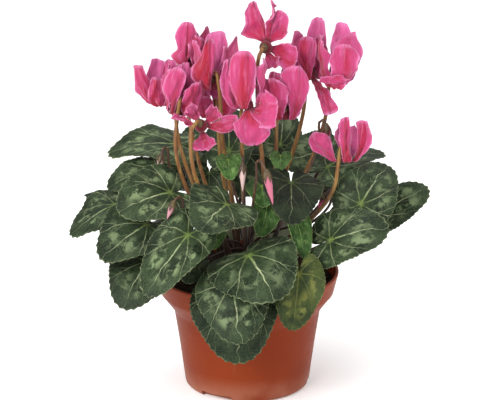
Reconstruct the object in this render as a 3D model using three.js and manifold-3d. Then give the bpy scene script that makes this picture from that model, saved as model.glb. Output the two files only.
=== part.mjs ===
// A potted cyclamen in millimetres, +Z up, the front towards -Y, the origin under the middle of the pot.
import * as THREE from "three";
import { mergeVertices } from "three/addons/utils/BufferGeometryUtils.js";
import Module from "manifold-3d";

const wasm = await Module();
wasm.setup();

// Pot
const RIM_RADIUS = 65;
const RIM_HEIGHT = 84;
const COLLAR_RADIUS = 61.7;
const COLLAR_HEIGHT = 69.5;
const SHOULDER_RADIUS = 52;
const SHOULDER_HEIGHT = 56;
const FOOT_RADIUS = 44.6;
const FOOT_ROUNDING = 3;
const WALL = 1.8;
const FLOOR = 5.5;
const NOTCH = { count: 3, first: -120, width: 24, height: 4, depth: 6 };
const POT_SIDES = 32;

// Soil and tuber
const SEAT_GAP = 0.35;
const SOIL_EDGE_HEIGHT = 77;
const SOIL_CROWN_HEIGHT = 80;
const SOIL_SLOPE = { from: 36, by: 48, rise: 1.6 };
const SOIL_SIDES = 24;
const TUBER = { radius: 27, halfHeight: 10, middle: 79, sides: 16, rows: 7 };

// Leaves
const BLADE_THICKNESS = 0.8;
const BLADE_MESH = { sectors: 12, rings: [0, 0.5, 1] };
const YOUNG_MESH = { sectors: 8, rings: [0, 0.6, 1] };
const STALK_INSET = 2.4;
const SINUS = 0.14;
const SINUS_WIDTH = 0.3;
const TIP_SHARPNESS = 8;
const TOOTH = 0.025;
const LEAF_STALK = { radius: 1.4, sides: 5, steps: 5 };
const YOUNG_STALK = { radius: 1.1, sides: 4, steps: 4 };

// Flowers and buds
const PETAL_THICKNESS = 0.7;
const PETAL_ROWS = [0, 0.2, 0.42, 0.72, 1];
const PETAL_COLUMNS = [-1, 0, 1];
const PETAL_TIP = 0.05;
const PETAL_CUP = 0.12;
const PETAL_ROLL = { plain: 0.34, outlined: 0.14 };
const PETAL_BREADTH = 1.06;
const PETAL_UNEVEN = 0.16;
const PETAL_SLANT = 0.09;
const MOUTH_RADIUS = 4.3;
const TUBE_HEIGHT = 6.4;
const TUBE_SIDES = 8;
const CALYX = { radius: 3.7, waist: 2.2, bottom: 6.9, height: 2.8, points: 5 };
const HOOK_WIDTH = 6.4;
const HOOK_HEIGHT = 9;
const FLOWER_STALK = { radius: 1.3, sides: 5, steps: 10 };
const BUD_SIDES = 6;
const BUD_STALK = { radius: 1.0, sides: 4, steps: 6 };
const STEM_BEND = 0.36;
const CROWN = { young: 2.8, buds: 2.2, lift: 0.8, sides: 10 };

const finish = (color, roughness, side = THREE.FrontSide) =>
  new THREE.MeshStandardMaterial({ color, roughness, metalness: 0, side });
const MATERIALS = {
  pot: finish("#a04c34", 0.55),
  soil: finish("#22150f", 0.95),
  tuber: finish("#5a4231", 0.9),
  leaf: finish("#4b5b3f", 0.6),
  young: finish("#4f7a3e", 0.6),
  petal: finish("#cb5490", 0.65),
  stalk: finish("#7b5a39", 0.6),
};

// Each leaf: foot [azimuth, radius] on the tuber, base and tip of the blade, the way its face looks,
// breadth, arch along its length, fold across it, wave of its edge and phase of that wave. A sinus
// wider than the others' is given with its leaf.
const LEAVES = [
  {
    foot: [-97, 24.5], base: [-9, -67, 89], tip: [-5, -82, 45], face: [0, -9, 3],
    shape: [1.13, 0.1, -0.1, 0.03, 0], sinus: 0.45,
  },
  {
    foot: [-108, 20], base: [-10, -71, 98], tip: [-4, -89, 62], face: [0, -9, 4],
    shape: [1.1, 0.06, -0.1, 0.04, 1], sinus: 0.45,
  },
  {
    foot: [-72, 22], base: [1, -60, 115], tip: [20, -93, 93], face: [0, -7, 7],
    shape: [1.25, 0.08, -0.1, 0.06, 2], sinus: 0.6,
  },
  {
    foot: [-60, 24.5], base: [35, -66, 104], tip: [30, -79, 68], face: [1, -9, 4],
    shape: [0.82, 0.08, 0.1, 0.04, 3],
  },
  {
    foot: [-122, 24.5], base: [-40, -62, 130], tip: [-67, -94, 99], face: [-1, -8, 6],
    shape: [0.68, 0.06, 0.1, 0.05, 4],
  },
  {
    foot: [-144, 24.5], base: [-68, -48, 106], tip: [-84, -73, 82], face: [-2, -8, 5],
    shape: [1.1, 0.08, -0.1, 0.05, 5],
  },
  {
    foot: [-152, 20], base: [-69, -36, 129], tip: [-98, -60, 111], face: [-2, -7, 7],
    shape: [1.05, 0.08, 0.1, 0.05, 0],
  },
  {
    foot: [-172, 24.5], base: [-92, -11, 135], tip: [-121, -27, 116], face: [-3, -5, 8],
    shape: [0.8, 0.1, 0.1, 0.06, 1],
  },
  {
    foot: [170, 24.5], base: [-88, 30, 132], tip: [-116, 28, 127], face: [0, 2, 9],
    shape: [0.9, 0.1, -0.2, 0.1, 2],
  },
  {
    foot: [-168, 22], base: [-53, -24, 148], tip: [-88, -42, 140], face: [-1, -7, 7],
    shape: [1.05, 0.1, 0.15, 0.05, 3],
  },
  {
    foot: [178, 20], base: [-63, 13, 152], tip: [-99, 10, 141], face: [-1, -4, 9],
    shape: [0.8, 0.1, 0.1, 0.05, 4],
  },
  {
    foot: [146, 20], base: [-50, 37, 165], tip: [-99, 29, 162], face: [0, -4, 9],
    shape: [0.7, 0.08, -0.05, 0.06, 5],
  },
  {
    foot: [-124, 20], base: [-14, -50, 148], tip: [-31.5, -77, 137], face: [1, -6, 8],
    shape: [1.27, 0.08, 0.15, 0.05, 0],
  },
  {
    foot: [-48, 20], base: [30, -36, 159], tip: [28, -63, 137], face: [2, -7, 7],
    shape: [1.05, 0.1, 0.2, 0.05, 2], sinus: 0.16,
  },
  {
    foot: [48, 20], base: [57, 44, 157.5], tip: [24, 34, 151.5], face: [0, -7, 7],
    shape: [0.9, 0.08, 0.1, 0.05, 3],
  },
  {
    foot: [8, 20], base: [57, 12, 156], tip: [97, 18, 165], face: [0, -3, 9],
    shape: [0.8, 0.1, -0.15, 0.07, 4],
  },
  {
    foot: [-22, 20], base: [78, -30, 142], tip: [98, -5, 163], face: [-2, -9, 5],
    shape: [1, 0.08, -0.1, 0.04, 5],
  },
  {
    foot: [-38, 24.5], base: [57, -46, 121], tip: [96, -55, 133], face: [0, -7, 7],
    shape: [0.9, 0.08, 0.1, 0.05, 0], sinus: 0.2,
  },
  {
    foot: [-4, 24.5], base: [92, 0, 124], tip: [128, 5, 141], face: [1, -6, 7],
    shape: [0.75, 0.1, 0.1, 0.05, 1],
  },
  {
    foot: [126, 20], base: [-41, 60, 142], tip: [-40, 72, 169], face: [-5, -8, 4],
    shape: [0.9, 0.08, 0.1, 0.05, 2],
  },
  {
    foot: [112, 20], base: [-13, 30, 162], tip: [-13, 64, 183], face: [0, -6, 8],
    shape: [0.75, 0.1, 0.1, 0.05, 3],
  },
  {
    foot: [62, 20], base: [24, 47, 162], tip: [27, 73, 180], face: [0, -6, 8],
    shape: [0.84, 0.1, 0.1, 0.05, 4],
  },
  {
    foot: [42, 24.5], base: [63, 53, 132], tip: [89, 81, 112], face: [4, 4, 8],
    shape: [1.05, 0.1, 0.1, 0.05, 5],
  },
  {
    foot: [66, 24.5], base: [22, 64, 127], tip: [30, 102, 104], face: [0, 4, 9],
    shape: [1, 0.1, 0.1, 0.05, 0],
  },
  {
    foot: [106, 24.5], base: [0, 50, 154], tip: [-5, 32, 126], face: [0, -7, 6],
    shape: [1.1, 0.04, 0.1, 0.05, 1],
  },
  {
    foot: [128, 24.5], base: [-56, 52, 126], tip: [-80, 80, 104], face: [-4, 4, 8],
    shape: [0.95, 0.1, 0.1, 0.05, 2],
  },
  {
    foot: [86, 24.5], base: [6, 70, 98], tip: [10, 88, 58], face: [0, 9, 4],
    shape: [1.1, 0.1, -0.1, 0.05, 3],
  },
  {
    foot: [150, 24.5], base: [-74, 28, 104], tip: [-98, 44, 78], face: [-7, 4, 5],
    shape: [1.1, 0.1, 0.1, 0.05, 4],
  },
  {
    foot: [20, 24.5], base: [68, 27, 139], tip: [48, 17, 133], face: [0, -4, 9],
    shape: [0.95, 0.1, 0.1, 0.05, 5],
  },
];

// The small young leaves in the heart of the plant, laid out as above; their feet share one crown.
const YOUNG_LEAVES = [
  { base: [14, -28, 141], tip: [9, -42, 122], face: [2, -8, 5], shape: [0.8, 0.1, 0.4, 0.05, 0] },
  { base: [34, -30, 129], tip: [39, -48, 108], face: [3, -8, 5], shape: [0.55, 0.1, 0.5, 0.05, 1] },
  { base: [-38, -45, 106], tip: [-40, -60, 94], face: [0, -9, 4], shape: [1.1, 0.1, 0.2, 0.05, 2] },
  { base: [-20, -40, 124], tip: [-23, -50, 116], face: [0, -8, 6], shape: [0.8, 0.1, 0.2, 0.05, 3] },
  { base: [-27, 26, 147], tip: [-28, 17, 129], face: [0, -7, 6], shape: [1.3, 0.06, 0.1, 0.05, 4] },
  { base: [10, -25, 153], tip: [12, -37, 142], face: [0, -6, 8], shape: [1.2, 0.1, 0.2, 0.05, 5] },
  { base: [23, -15, 172], tip: [23, -24, 164], face: [0, -6, 7], shape: [1.1, 0.1, 0.2, 0.05, 0] },
  { base: [-13, -22, 171], tip: [-11, -35, 160], face: [0, -6, 8], shape: [0.9, 0.1, 0.4, 0.05, 1] },
];
const YOUNG_CROWN = [0, 1];

// Each flower: foot on the tuber, middle of its mouth, the axis from mouth to calyx, azimuth of the gap
// that its stalk passes, and its petals [azimuth, lean from the axis, length, width, twist], some with
// an outline of their own and a sweep sideways.
const FLOWERS = [
  {
    foot: [-162, 17], mouth: [-48, -12, 201], axis: [1.5, 0, 10], gap: -86,
    petals: [
      [-118, 12, 33, 18, 28, "notched"], [-24, 24, 26, 13, -36], [56, 14, 31, 15, 20],
      [110, 12, 33, 16, 20], [190, 14, 30, 15, 20],
    ],
  },
  {
    foot: [180, 15], mouth: [-59, 10, 202], axis: [0, 0, 10], gap: 3,
    petals: [
      [180, 33, 32, 12, 70], [105, 20, 30, 19, 0], [-104, 22, 21, 15, 14], [48, 14, 30, 12, 40],
      [-44, 15, 28, 13, 20],
    ],
  },
  {
    foot: [150, 16], mouth: [-40, 15, 227], axis: [0, 0, 10], gap: 115,
    petals: [
      [-106, 8, 32, 18, 14, "waved"], [14, 25, 30, 12, 60, "pointed"], [-44, 20, 24, 13, -40],
      [66, 8, 26, 14, 20], [162, 6, 26, 14, 20],
    ],
  },
  {
    foot: [125, 8.5], mouth: [-24, -5, 217], axis: [0, 0, 10], gap: -52,
    petals: [
      [-110, 8, 35, 20, 19, "cornered"], [-12, 18, 30, 12, 20], [75, 22, 38, 17, 20],
      [35, 32, 38, 14, 50, "pointed"], [168, 20, 33, 15, 20],
    ],
  },
  {
    foot: [122, 13], mouth: [-23, 15, 192], axis: [0, 0, 10], gap: -70,
    petals: [
      [-20, 26, 26, 15, -60], [60, 15, 30, 15, 20], [130, 15, 30, 15, 20], [200, 15, 28, 14, 20],
      [-120, 40, 22, 13, 20],
    ],
  },
  {
    foot: [-95, 11], mouth: [0, -25, 209], axis: [0, 0, 10], gap: 115,
    petals: [
      [-110, 5, 38.5, 19, 20, "sail"], [165, 20, 34, 16, -65], [8, 18, 32, 10, -30],
      [-40, 80, 26, 26, 78, "apron"], [-80, 158, 25, 25, 0, "skirt", -0.05],
    ],
  },
  {
    foot: [-133, 14], mouth: [-31, -30, 197], axis: [-2, -8, 6], gap: -118,
    petals: [
      [-80, 75, 20, 16, 0, "drop"], [2, 90, 24, 11, 20], [40, 60, 17, 11, 20], [120, 50, 17, 9, 20],
      [160, 75, 20, 8, 40],
    ],
  },
  {
    foot: [-41, 14.5], mouth: [13, 0, 245], axis: [-2, -9, 2], gap: -108,
    petals: [
      [106, 85, 31, 21, 0, "kite"], [78, 80, 31, 9, 70], [62, 80, 27, 17, 0, "flag"],
      [-20, 90, 22, 18, 0], [-70, 80, 15, 13, 0],
    ],
  },
  {
    foot: [30, 13.5], mouth: [26, -5, 196], axis: [0, 0, 10], gap: 128,
    petals: [
      [-138, 28, 33, 18, 40, "shield"], [-43, 18, 39, 22, -45, "fan"], [71, 12, 37, 16, 0],
      [20, 20, 34, 16, 20], [190, 15, 33, 16, 20],
    ],
  },
  {
    foot: [54, 15], mouth: [44, 15, 219], axis: [0, 0, 10], gap: 108,
    petals: [
      [172, 15, 33, 14, -40], [-115, 10, 30, 19, 25, "peaked"], [55, 15, 41, 14, 20],
      [-56, 130, 30, 16, 0, "strap"], [18, 12, 30, 12, 30],
    ],
  },
  {
    foot: [2, 14], mouth: [62, 4, 218], axis: [0, 0, 10], gap: 127,
    petals: [
      [80, 14, 40, 13, 30], [25, 17, 35, 17, 20], [-72, 20, 31, 25, -14, "plate"],
      [-112, 58, 15, 20, 10], [175, 20, 32, 14, 20],
    ],
  },
  {
    foot: [-33, 18], mouth: [68, -15, 169], axis: [0, 0, 10], gap: -131,
    petals: [
      [186, 50, 29, 19, 80, "spoon"], [-86, 5, 30, 12, 30], [-5, 22, 29, 14, 80, "blunt"],
      [60, 15, 22, 10, 20], [120, 12, 26, 12, 20],
    ],
  },
];

// Outlines of the petals that stand out: share of the length, then the half widths on the two sides.
const OUTLINES = {
  notched: [
    [0, 1.4, 1], [0.3, 2, 1.4], [0.5, 2.4, 2.4], [0.6, 5.2, 3.4],
    [0.7, 8.4, 4.6], [0.83, 7.8, 5.8], [0.95, 6.2, 5.8], [1, 4, 4],
  ],
  waved: [
    [0, 1.5, 1.2], [0.3, 4.5, 0.8], [0.44, 9, 1], [0.53, 10.2, 2], [0.64, 6.2, 4.5],
    [0.74, 7.4, 5.2], [0.84, 7.8, 6.6], [0.93, 6.6, 6.4], [1, 4.2, 4.4],
  ],
  cornered: [
    [0, 1.6, 1], [0.33, 4.6, 1.6], [0.44, 8.6, 2], [0.56, 12, 3], [0.64, 11.4, 3.8],
    [0.72, 7.8, 4.4], [0.85, 4.6, 4.8], [0.95, 3.4, 4.4], [1, 2, 3.2],
  ],
  sail: [
    [0, 1.5, 1.5], [0.3, 3.4, 3], [0.49, 7, 6], [0.6, 9.4, 7.4], [0.7, 10.6, 8.2],
    [0.8, 10.6, 8.2], [0.88, 10, 7.6], [0.96, 8.2, 6], [1, 6, 4.2],
  ],
  apron: [
    [0, 2, 2], [0.2, 4, 5.5], [0.4, 8, 10], [0.6, 11.5, 13],
    [0.78, 13.5, 13], [0.93, 12, 9], [1, 8, 6],
  ],
  skirt: [
    [0, 2, 2], [0.3, 6, 8], [0.47, 11, 10.5], [0.65, 11, 13],
    [0.8, 9.4, 12], [0.93, 7, 8.5], [1, 4, 4.5],
  ],
  kite: [
    [0, 1.5, 1.5], [0.2, 3, 6.5], [0.43, 3.4, 15], [0.56, 3.4, 11],
    [0.7, 3.2, 8], [0.84, 3, 8], [1, 2.4, 3.5],
  ],
  flag: [[0, 1.4, 1.2], [0.18, 3.7, 1.6], [0.38, 8.4, 2.4], [0.73, 8.5, 4], [0.9, 6.5, 5], [1, 4, 4]],
  shield: [
    [0, 2, 2], [0.3, 5, 5], [0.43, 6.7, 7.5], [0.68, 5.6, 11.5],
    [0.85, 5.8, 12], [0.94, 6, 10], [1, 5, 7],
  ],
  fan: [
    [0, 1.5, 1.5], [0.33, 2.6, 3.4], [0.55, 5, 5.8], [0.64, 6.6, 6.8], [0.72, 8.4, 7.8],
    [0.79, 10, 8.2], [0.87, 12, 7], [0.95, 11.6, 4.6], [1, 8, 2.4],
  ],
  peaked: [
    [0, 1.8, 1.8], [0.44, 2, 4], [0.6, 4.6, 5.6], [0.77, 8.6, 6.6],
    [0.86, 9.4, 6.8], [0.95, 7.4, 6.2], [1, 4.8, 4.4],
  ],
  pointed: [
    [0, 2, 2], [0.4, 3.6, 3.6], [0.62, 6, 5.8],
    [0.78, 5.8, 5.4], [0.9, 2.8, 3.4], [1, 0.8, 1.2],
  ],
  drop: [
    [0, 1.4, 1.4], [0.2, 3, 3], [0.4, 6, 5.8], [0.6, 8.2, 8],
    [0.8, 8.4, 8.4], [0.93, 6.8, 7.2], [1, 4.4, 4.6],
  ],
  strap: [[0, 2, 2], [0.3, 4.2, 4.6], [0.7, 5.4, 5.8], [1, 5, 5.2]],
  plate: [
    [0, 3, 3], [0.3, 6.6, 5], [0.45, 7.6, 8.6], [0.65, 7.8, 11],
    [0.8, 7.8, 11.4], [0.92, 7, 9.6], [1, 4.5, 5],
  ],
  spoon: [
    [0, 1.4, 1.4], [0.3, 2.2, 2.2], [0.5, 4, 5], [0.7, 6.4, 7.6],
    [0.85, 6.6, 7.6], [0.95, 5, 6], [1, 3, 4],
  ],
  blunt: [[0, 1.4, 1.4], [0.4, 3, 1.6], [0.6, 6.4, 2.2], [0.75, 8, 2.6], [0.9, 7, 4], [1, 5, 4.4]],
};

// The buds in clusters that share a crown on the tuber: top of the hook, tip and girth of each bud.
const BUDS = {
  left: {
    crown: [-8, 1],
    buds: [
      { top: [-57, -2, 174], tip: [-61, -5, 158], girth: 2.4 },
      { top: [-45.5, -47.8, 152.5], tip: [-52.5, -53, 142.5], girth: 2 },
    ],
  },
  front: {
    crown: [0, -17.5],
    buds: [
      { top: [-3, -33, 177], tip: [-3, -38, 158], girth: 2.1 },
      { top: [8, -50, 179], tip: [16, -58, 157.5], girth: 2.5 },
    ],
  },
  right: {
    crown: [12, -5.5],
    buds: [
      { top: [52, -6, 195], tip: [56, -8, 183], girth: 2.5 },
      { top: [59, -8, 145], tip: [51, -13, 136], girth: 2.2 },
    ],
  },
};

const UP = new THREE.Vector3(0, 0, 1);
const vector = (values) => new THREE.Vector3(...values);
const radians = THREE.MathUtils.degToRad;

// A closed geometry as a solid, with its shared corners merged.
function solidOf(geometry) {
  geometry.deleteAttribute("normal");
  geometry.deleteAttribute("uv");
  const merged = mergeVertices(geometry, 1e-4);
  const corners = merged.index.array;
  const kept = [];
  for (let i = 0; i < corners.length; i += 3) {
    const [a, b, c] = [corners[i], corners[i + 1], corners[i + 2]];
    if (a !== b && b !== c && c !== a) kept.push(a, b, c);
  }
  return new wasm.Manifold(
    new wasm.Mesh({
      numProp: 3,
      vertProperties: merged.attributes.position.array,
      triVerts: new Uint32Array(kept),
    }),
  );
}

function geometryOf(solid) {
  const mesh = solid.getMesh();
  const geometry = new THREE.BufferGeometry();
  geometry.setAttribute("position", new THREE.BufferAttribute(mesh.vertProperties, 3));
  geometry.setIndex(new THREE.BufferAttribute(mesh.triVerts, 1));
  geometry.computeVertexNormals();
  return geometry;
}

const joined = (solids) => solids.reduce((whole, piece) => whole.add(piece));

// A round solid about the Z axis from [radius, height] pairs that run upwards round its outside.
function turned(profile, sides) {
  const points = profile.map(([radius, height]) => new THREE.Vector2(radius, height));
  return new THREE.LatheGeometry(points, sides).rotateX(Math.PI / 2);
}

// A closed sheet over rows of points, split into triangles alike on both faces.
function sheet(rows, normals, thickness, pointed) {
  const across = rows[0].length;
  const count = rows.length * across;
  const positions = [];
  for (const side of [0.5, -0.5]) {
    rows.forEach((row, i) =>
      row.forEach((point, j) =>
        positions.push(...point.clone().addScaledVector(normals[i][j], side * thickness).toArray()),
      ),
    );
  }
  const corner = (i, j) => (pointed && i === 0 ? 0 : i * across + j);
  const faces = [];
  for (let i = 0; i + 1 < rows.length; i++) {
    for (let j = 0; j + 1 < across; j++) {
      const [a, b, c, d] = [corner(i, j), corner(i + 1, j), corner(i + 1, j + 1), corner(i, j + 1)];
      faces.push([a, b, c]);
      if (a !== d) faces.push([a, c, d]);
    }
  }
  const edges = new Set(faces.flatMap(([a, b, c]) => [a + ">" + b, b + ">" + c, c + ">" + a]));
  const index = [];
  for (const [a, b, c] of faces) {
    index.push(a, b, c, a + count, c + count, b + count);
    for (const [from, to] of [[a, b], [b, c], [c, a]]) {
      if (!edges.has(to + ">" + from)) index.push(to, from, from + count, to, from + count, to + count);
    }
  }
  const geometry = new THREE.BufferGeometry();
  geometry.setAttribute("position", new THREE.Float32BufferAttribute(positions, 3));
  geometry.setIndex(index);
  return solidOf(geometry);
}

// A stalk of even thickness through a list of points.
function stalk(points, { radius, sides, steps }) {
  const section = new THREE.Shape();
  for (let i = 0; i < sides; i++) {
    const turn = (2 * Math.PI * i) / sides;
    section[i ? "lineTo" : "moveTo"](radius * Math.cos(turn), radius * Math.sin(turn));
  }
  const extrudePath = new THREE.CatmullRomCurve3(points);
  return solidOf(new THREE.ExtrudeGeometry(section, { extrudePath, steps, bevelEnabled: false }));
}

// A point just clear of the tuber's skin, and the skin's normal there.
function footOnTuber(x, y) {
  const { radius, halfHeight, middle } = TUBER;
  const rise = Math.sqrt(1 - (x * x + y * y) / (radius * radius));
  const normal = new THREE.Vector3(x / radius ** 2, y / radius ** 2, rise / halfHeight).normalize();
  const point = new THREE.Vector3(x, y, middle + halfHeight * rise);
  return { point: point.addScaledVector(normal, SEAT_GAP), normal };
}

function footAt([azimuth, radius]) {
  return footOnTuber(radius * Math.cos(radians(azimuth)), radius * Math.sin(radians(azimuth)));
}

// The edge of a heart-shaped blade as a share of its length, by the angle from its tip's direction.
function heart(turn, sinus) {
  const forward = Math.cos(turn);
  const body = 0.56 + (forward > 0 ? 0.14 * forward + 0.3 * forward ** TIP_SHARPNESS : 0.12 * forward);
  const notch = 1 - Math.exp(-(((Math.PI - Math.abs(turn)) / sinus) ** 2));
  return body * (0.14 + 0.86 * notch);
}

// The blade's own directions: along its midrib, across it, and out of its upper face.
function bladeFrame({ base, tip, face }) {
  const along = vector(tip).sub(vector(base));
  const length = along.length();
  along.normalize();
  const up = vector(face).addScaledVector(along, -vector(face).dot(along)).normalize();
  return { length, along, up, across: up.clone().cross(along) };
}

function bladeHeight(s, t, turn, reach, [, arch, fold, wave, phase]) {
  const bow = s > 0 ? 4 * s * (1 - s) : 4 * s;
  return arch * bow + fold * (Math.hypot(t, 0.08) - 0.08) + wave * reach ** 2 * Math.sin(4 * turn + phase);
}

function bladeSolid(leaf, { sectors, rings }) {
  const { length, along, up, across } = bladeFrame(leaf);
  const breadth = leaf.shape[0];
  const widest = Math.PI - SINUS;
  const place = (turn, reach, edge) => {
    const s = edge * reach * Math.cos(turn);
    const t = edge * reach * Math.sin(turn) * breadth;
    return vector(leaf.base)
      .addScaledVector(along, s * length)
      .addScaledVector(across, t * length)
      .addScaledVector(up, bladeHeight(s, t, turn, reach, leaf.shape) * length);
  };
  const rows = [];
  const normals = [];
  for (const reach of rings) {
    const row = [];
    const out = [];
    for (let j = 0; j <= sectors; j++) {
      const turn = widest * ((2 * j) / sectors - 1);
      const tooth = reach === 1 && j > 0 && j < sectors ? (j % 2 ? -TOOTH : TOOTH) : 0;
      const edge = heart(turn, leaf.sinus ?? SINUS_WIDTH) * (1 + tooth);
      const here = place(turn, reach, edge);
      const outward = place(turn, reach + 0.02, edge).sub(place(turn, reach - 0.02, edge));
      const round = place(turn + 0.02, reach, edge).sub(place(turn - 0.02, reach, edge));
      row.push(here);
      out.push(reach === 0 ? up : outward.cross(round).normalize());
    }
    rows.push(row);
    normals.push(out);
  }
  return sheet(rows, normals, BLADE_THICKNESS, true);
}

function leafStalk(leaf, foot, size) {
  const { along, up } = bladeFrame(leaf);
  const end = vector(leaf.base).addScaledVector(along, STALK_INSET);
  const arrive = up.clone().addScaledVector(along, 0.3).normalize();
  const span = end.distanceTo(foot.point) * STEM_BEND;
  const curve = new THREE.CubicBezierCurve3(
    foot.point,
    foot.point.clone().addScaledVector(foot.normal, span),
    end.clone().addScaledVector(arrive, -span),
    end,
  );
  return stalk(curve.getPoints(size.steps), size);
}

const leafSolid = (leaf) => bladeSolid(leaf, BLADE_MESH).add(leafStalk(leaf, footAt(leaf.foot), LEAF_STALK));

// A small dome on the tuber that a cluster of thin stalks grows from.
function crown([x, y], size) {
  const { point, normal } = footOnTuber(x, y);
  const dome = turned([[0, 0], [size, 0], [size * 0.9, size * 0.6], [0, size]], CROWN.sides);
  dome.applyQuaternion(new THREE.Quaternion().setFromUnitVectors(UP, normal));
  return solidOf(dome.translate(point.x, point.y, point.z));
}

function youngLeaves() {
  const foot = footOnTuber(...YOUNG_CROWN);
  foot.point.addScaledVector(foot.normal, CROWN.lift);
  const leaves = YOUNG_LEAVES.map((leaf) => {
    const stem = leafStalk(leaf, foot, YOUNG_STALK);
    return bladeSolid(leaf, YOUNG_MESH).add(stem);
  });
  return joined([crown(YOUNG_CROWN, CROWN.young), ...leaves]);
}

// The flower's own directions: up its axis, and right and back across it.
function flowerFrame({ axis }) {
  const up = vector(axis).normalize();
  const right = new THREE.Vector3(1, 0, 0).addScaledVector(up, -up.x).normalize();
  return { up, right, back: up.clone().cross(right) };
}

function spoke({ right, back }, azimuth) {
  const turn = radians(azimuth);
  return right.clone().multiplyScalar(Math.cos(turn)).addScaledVector(back, Math.sin(turn));
}

const petalWidth = (s) => 0.24 + 0.76 * Math.sin(Math.PI * (0.73 * s) ** 1.25) ** 1.2 - 0.2 * s ** 6;

// A smooth curve through one column of an outline's rows.
function follow(rows, share, column) {
  const last = rows.length - 1;
  let i = 0;
  while (share > rows[i + 1][0] && i < last - 1) i++;
  const step = (share - rows[i][0]) / (rows[i + 1][0] - rows[i][0]);
  const [a, b, c, d] = [Math.max(i - 1, 0), i, i + 1, Math.min(i + 2, last)].map((k) => rows[k][column]);
  const bend = (c - a) * step + (2 * a - 5 * b + 4 * c - d) * step ** 2 + (3 * b - a - 3 * c + d) * step ** 3;
  return b + bend / 2;
}

function halfWidth(width, outline, s, across, seed) {
  if (outline) return follow(OUTLINES[outline], s, across > 0 ? 1 : 2);
  const uneven = 1 + PETAL_UNEVEN * Math.sin(5.5 * s + 1.9 * seed + 1.6 * across);
  return (width / 2) * petalWidth(s) * PETAL_BREADTH * uneven;
}

// The seed varies a petal's roll and the unevenness of its edges.
function petalSolid(flower, frame, [azimuth, lean, length, width, twist, outline, sweep = 0], seed) {
  const out = spoke(frame, azimuth);
  const heading = frame.up.clone().multiplyScalar(Math.cos(radians(lean)));
  heading.addScaledVector(out, Math.sin(radians(lean)));
  heading.addScaledVector(out.clone().cross(frame.up), sweep).normalize();
  const mouth = vector(flower.mouth);
  const line = new THREE.CubicBezierCurve3(
    mouth.clone().addScaledVector(out, MOUTH_RADIUS - 0.6).addScaledVector(frame.up, 0.6),
    mouth.clone().addScaledVector(out, MOUTH_RADIUS + 4).addScaledVector(frame.up, -4),
    mouth.clone().addScaledVector(heading, length * 0.5).addScaledVector(out, 6),
    mouth.clone().addScaledVector(heading, length),
  );
  const roll = outline ? PETAL_ROLL.outlined : PETAL_ROLL.plain;
  const slant = outline ? 0 : PETAL_SLANT * Math.sin(2.3 * seed + 1);
  const rows = [];
  const normals = [];
  for (const s of PETAL_ROWS) {
    const tangent = line.getTangent(s);
    const side = out.clone().cross(frame.up).applyAxisAngle(tangent, radians(twist * Math.min(1, 2 * s)));
    const face = tangent.clone().cross(side).normalize();
    side.copy(face).cross(tangent);
    const open = Math.min(1, 2.2 * s);
    const reach = s === 1 ? length : 0;
    rows.push(
      PETAL_COLUMNS.map((across) => {
        const half = halfWidth(width, outline, s, across, seed);
        const lift = roll * Math.sin(4.2 * s + 1.3 * seed) * across - PETAL_CUP * across ** 2;
        return line
          .getPoint(s)
          .addScaledVector(side, across * half)
          .addScaledVector(face, lift * half * open)
          .addScaledVector(tangent, (PETAL_TIP * (1 - across ** 2) + slant * across) * reach);
      }),
    );
    normals.push(PETAL_COLUMNS.map(() => face));
  }
  return sheet(rows, normals, PETAL_THICKNESS, false);
}

function placedOn(flower, frame, geometry) {
  const turn = new THREE.Matrix4().makeBasis(frame.right, frame.back, frame.up);
  return solidOf(geometry.applyMatrix4(turn).translate(...flower.mouth));
}

function bloomSolid(flower, number) {
  const frame = flowerFrame(flower);
  const tube = turned(
    [[0, 2.4], [3.1, 0], [MOUTH_RADIUS, 0.2], [4.1, 3.6], [0, TUBE_HEIGHT]],
    TUBE_SIDES,
  );
  const petals = flower.petals.map((petal, i) => petalSolid(flower, frame, petal, number * 5 + i * 1.9));
  return joined([placedOn(flower, frame, tube), ...petals]);
}

// A five-pointed cap over the top of the tube.
function calyx(flower, frame) {
  const { radius, waist, bottom, height, points } = CALYX;
  const outline = [];
  for (let i = 0; i < 2 * points; i++) {
    const turn = (Math.PI * i) / points;
    const size = i % 2 ? waist : radius;
    outline.push([size * Math.cos(turn), size * Math.sin(turn), bottom]);
  }
  const top = [0, 0, bottom + height];
  const middle = [0, 0, bottom];
  const positions = [];
  outline.forEach((here, i) => {
    const next = outline[(i + 1) % outline.length];
    positions.push(...here, ...next, ...top, ...next, ...here, ...middle);
  });
  const geometry = new THREE.BufferGeometry();
  geometry.setAttribute("position", new THREE.Float32BufferAttribute(positions, 3));
  return placedOn(flower, frame, geometry);
}

// The stalk rises beside the tube, passes between two petals and hooks over into the calyx.
function flowerStalk(flower) {
  const frame = flowerFrame(flower);
  const out = spoke(frame, flower.gap);
  const mouth = vector(flower.mouth);
  const at = (side, height) => mouth.clone().addScaledVector(out, side).addScaledVector(frame.up, height);
  const nodding = frame.up.z > 0.6;
  const foot = footAt(flower.foot);
  const below = nodding ? at(HOOK_WIDTH + 2.6, -5) : at(HOOK_WIDTH, 14);
  const arrive = nodding ? frame.up : UP.clone().addScaledVector(out, -0.5).normalize();
  const span = below.distanceTo(foot.point) * STEM_BEND;
  const stem = new THREE.CubicBezierCurve3(
    foot.point,
    foot.point.clone().addScaledVector(foot.normal, span),
    below.clone().addScaledVector(arrive, -span),
    below,
  );
  const points = stem.getPoints(9);
  const hook = nodding ? [0, 45, 90, 135] : [90, 135];
  for (const angle of hook) {
    const turn = radians(angle);
    points.push(at((HOOK_WIDTH / 2) * (1 + Math.cos(turn)), HOOK_HEIGHT + (HOOK_WIDTH / 2) * Math.sin(turn)));
  }
  points.push(at(0, CALYX.bottom + 0.8));
  return stalk(points, FLOWER_STALK).add(calyx(flower, frame));
}

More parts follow.
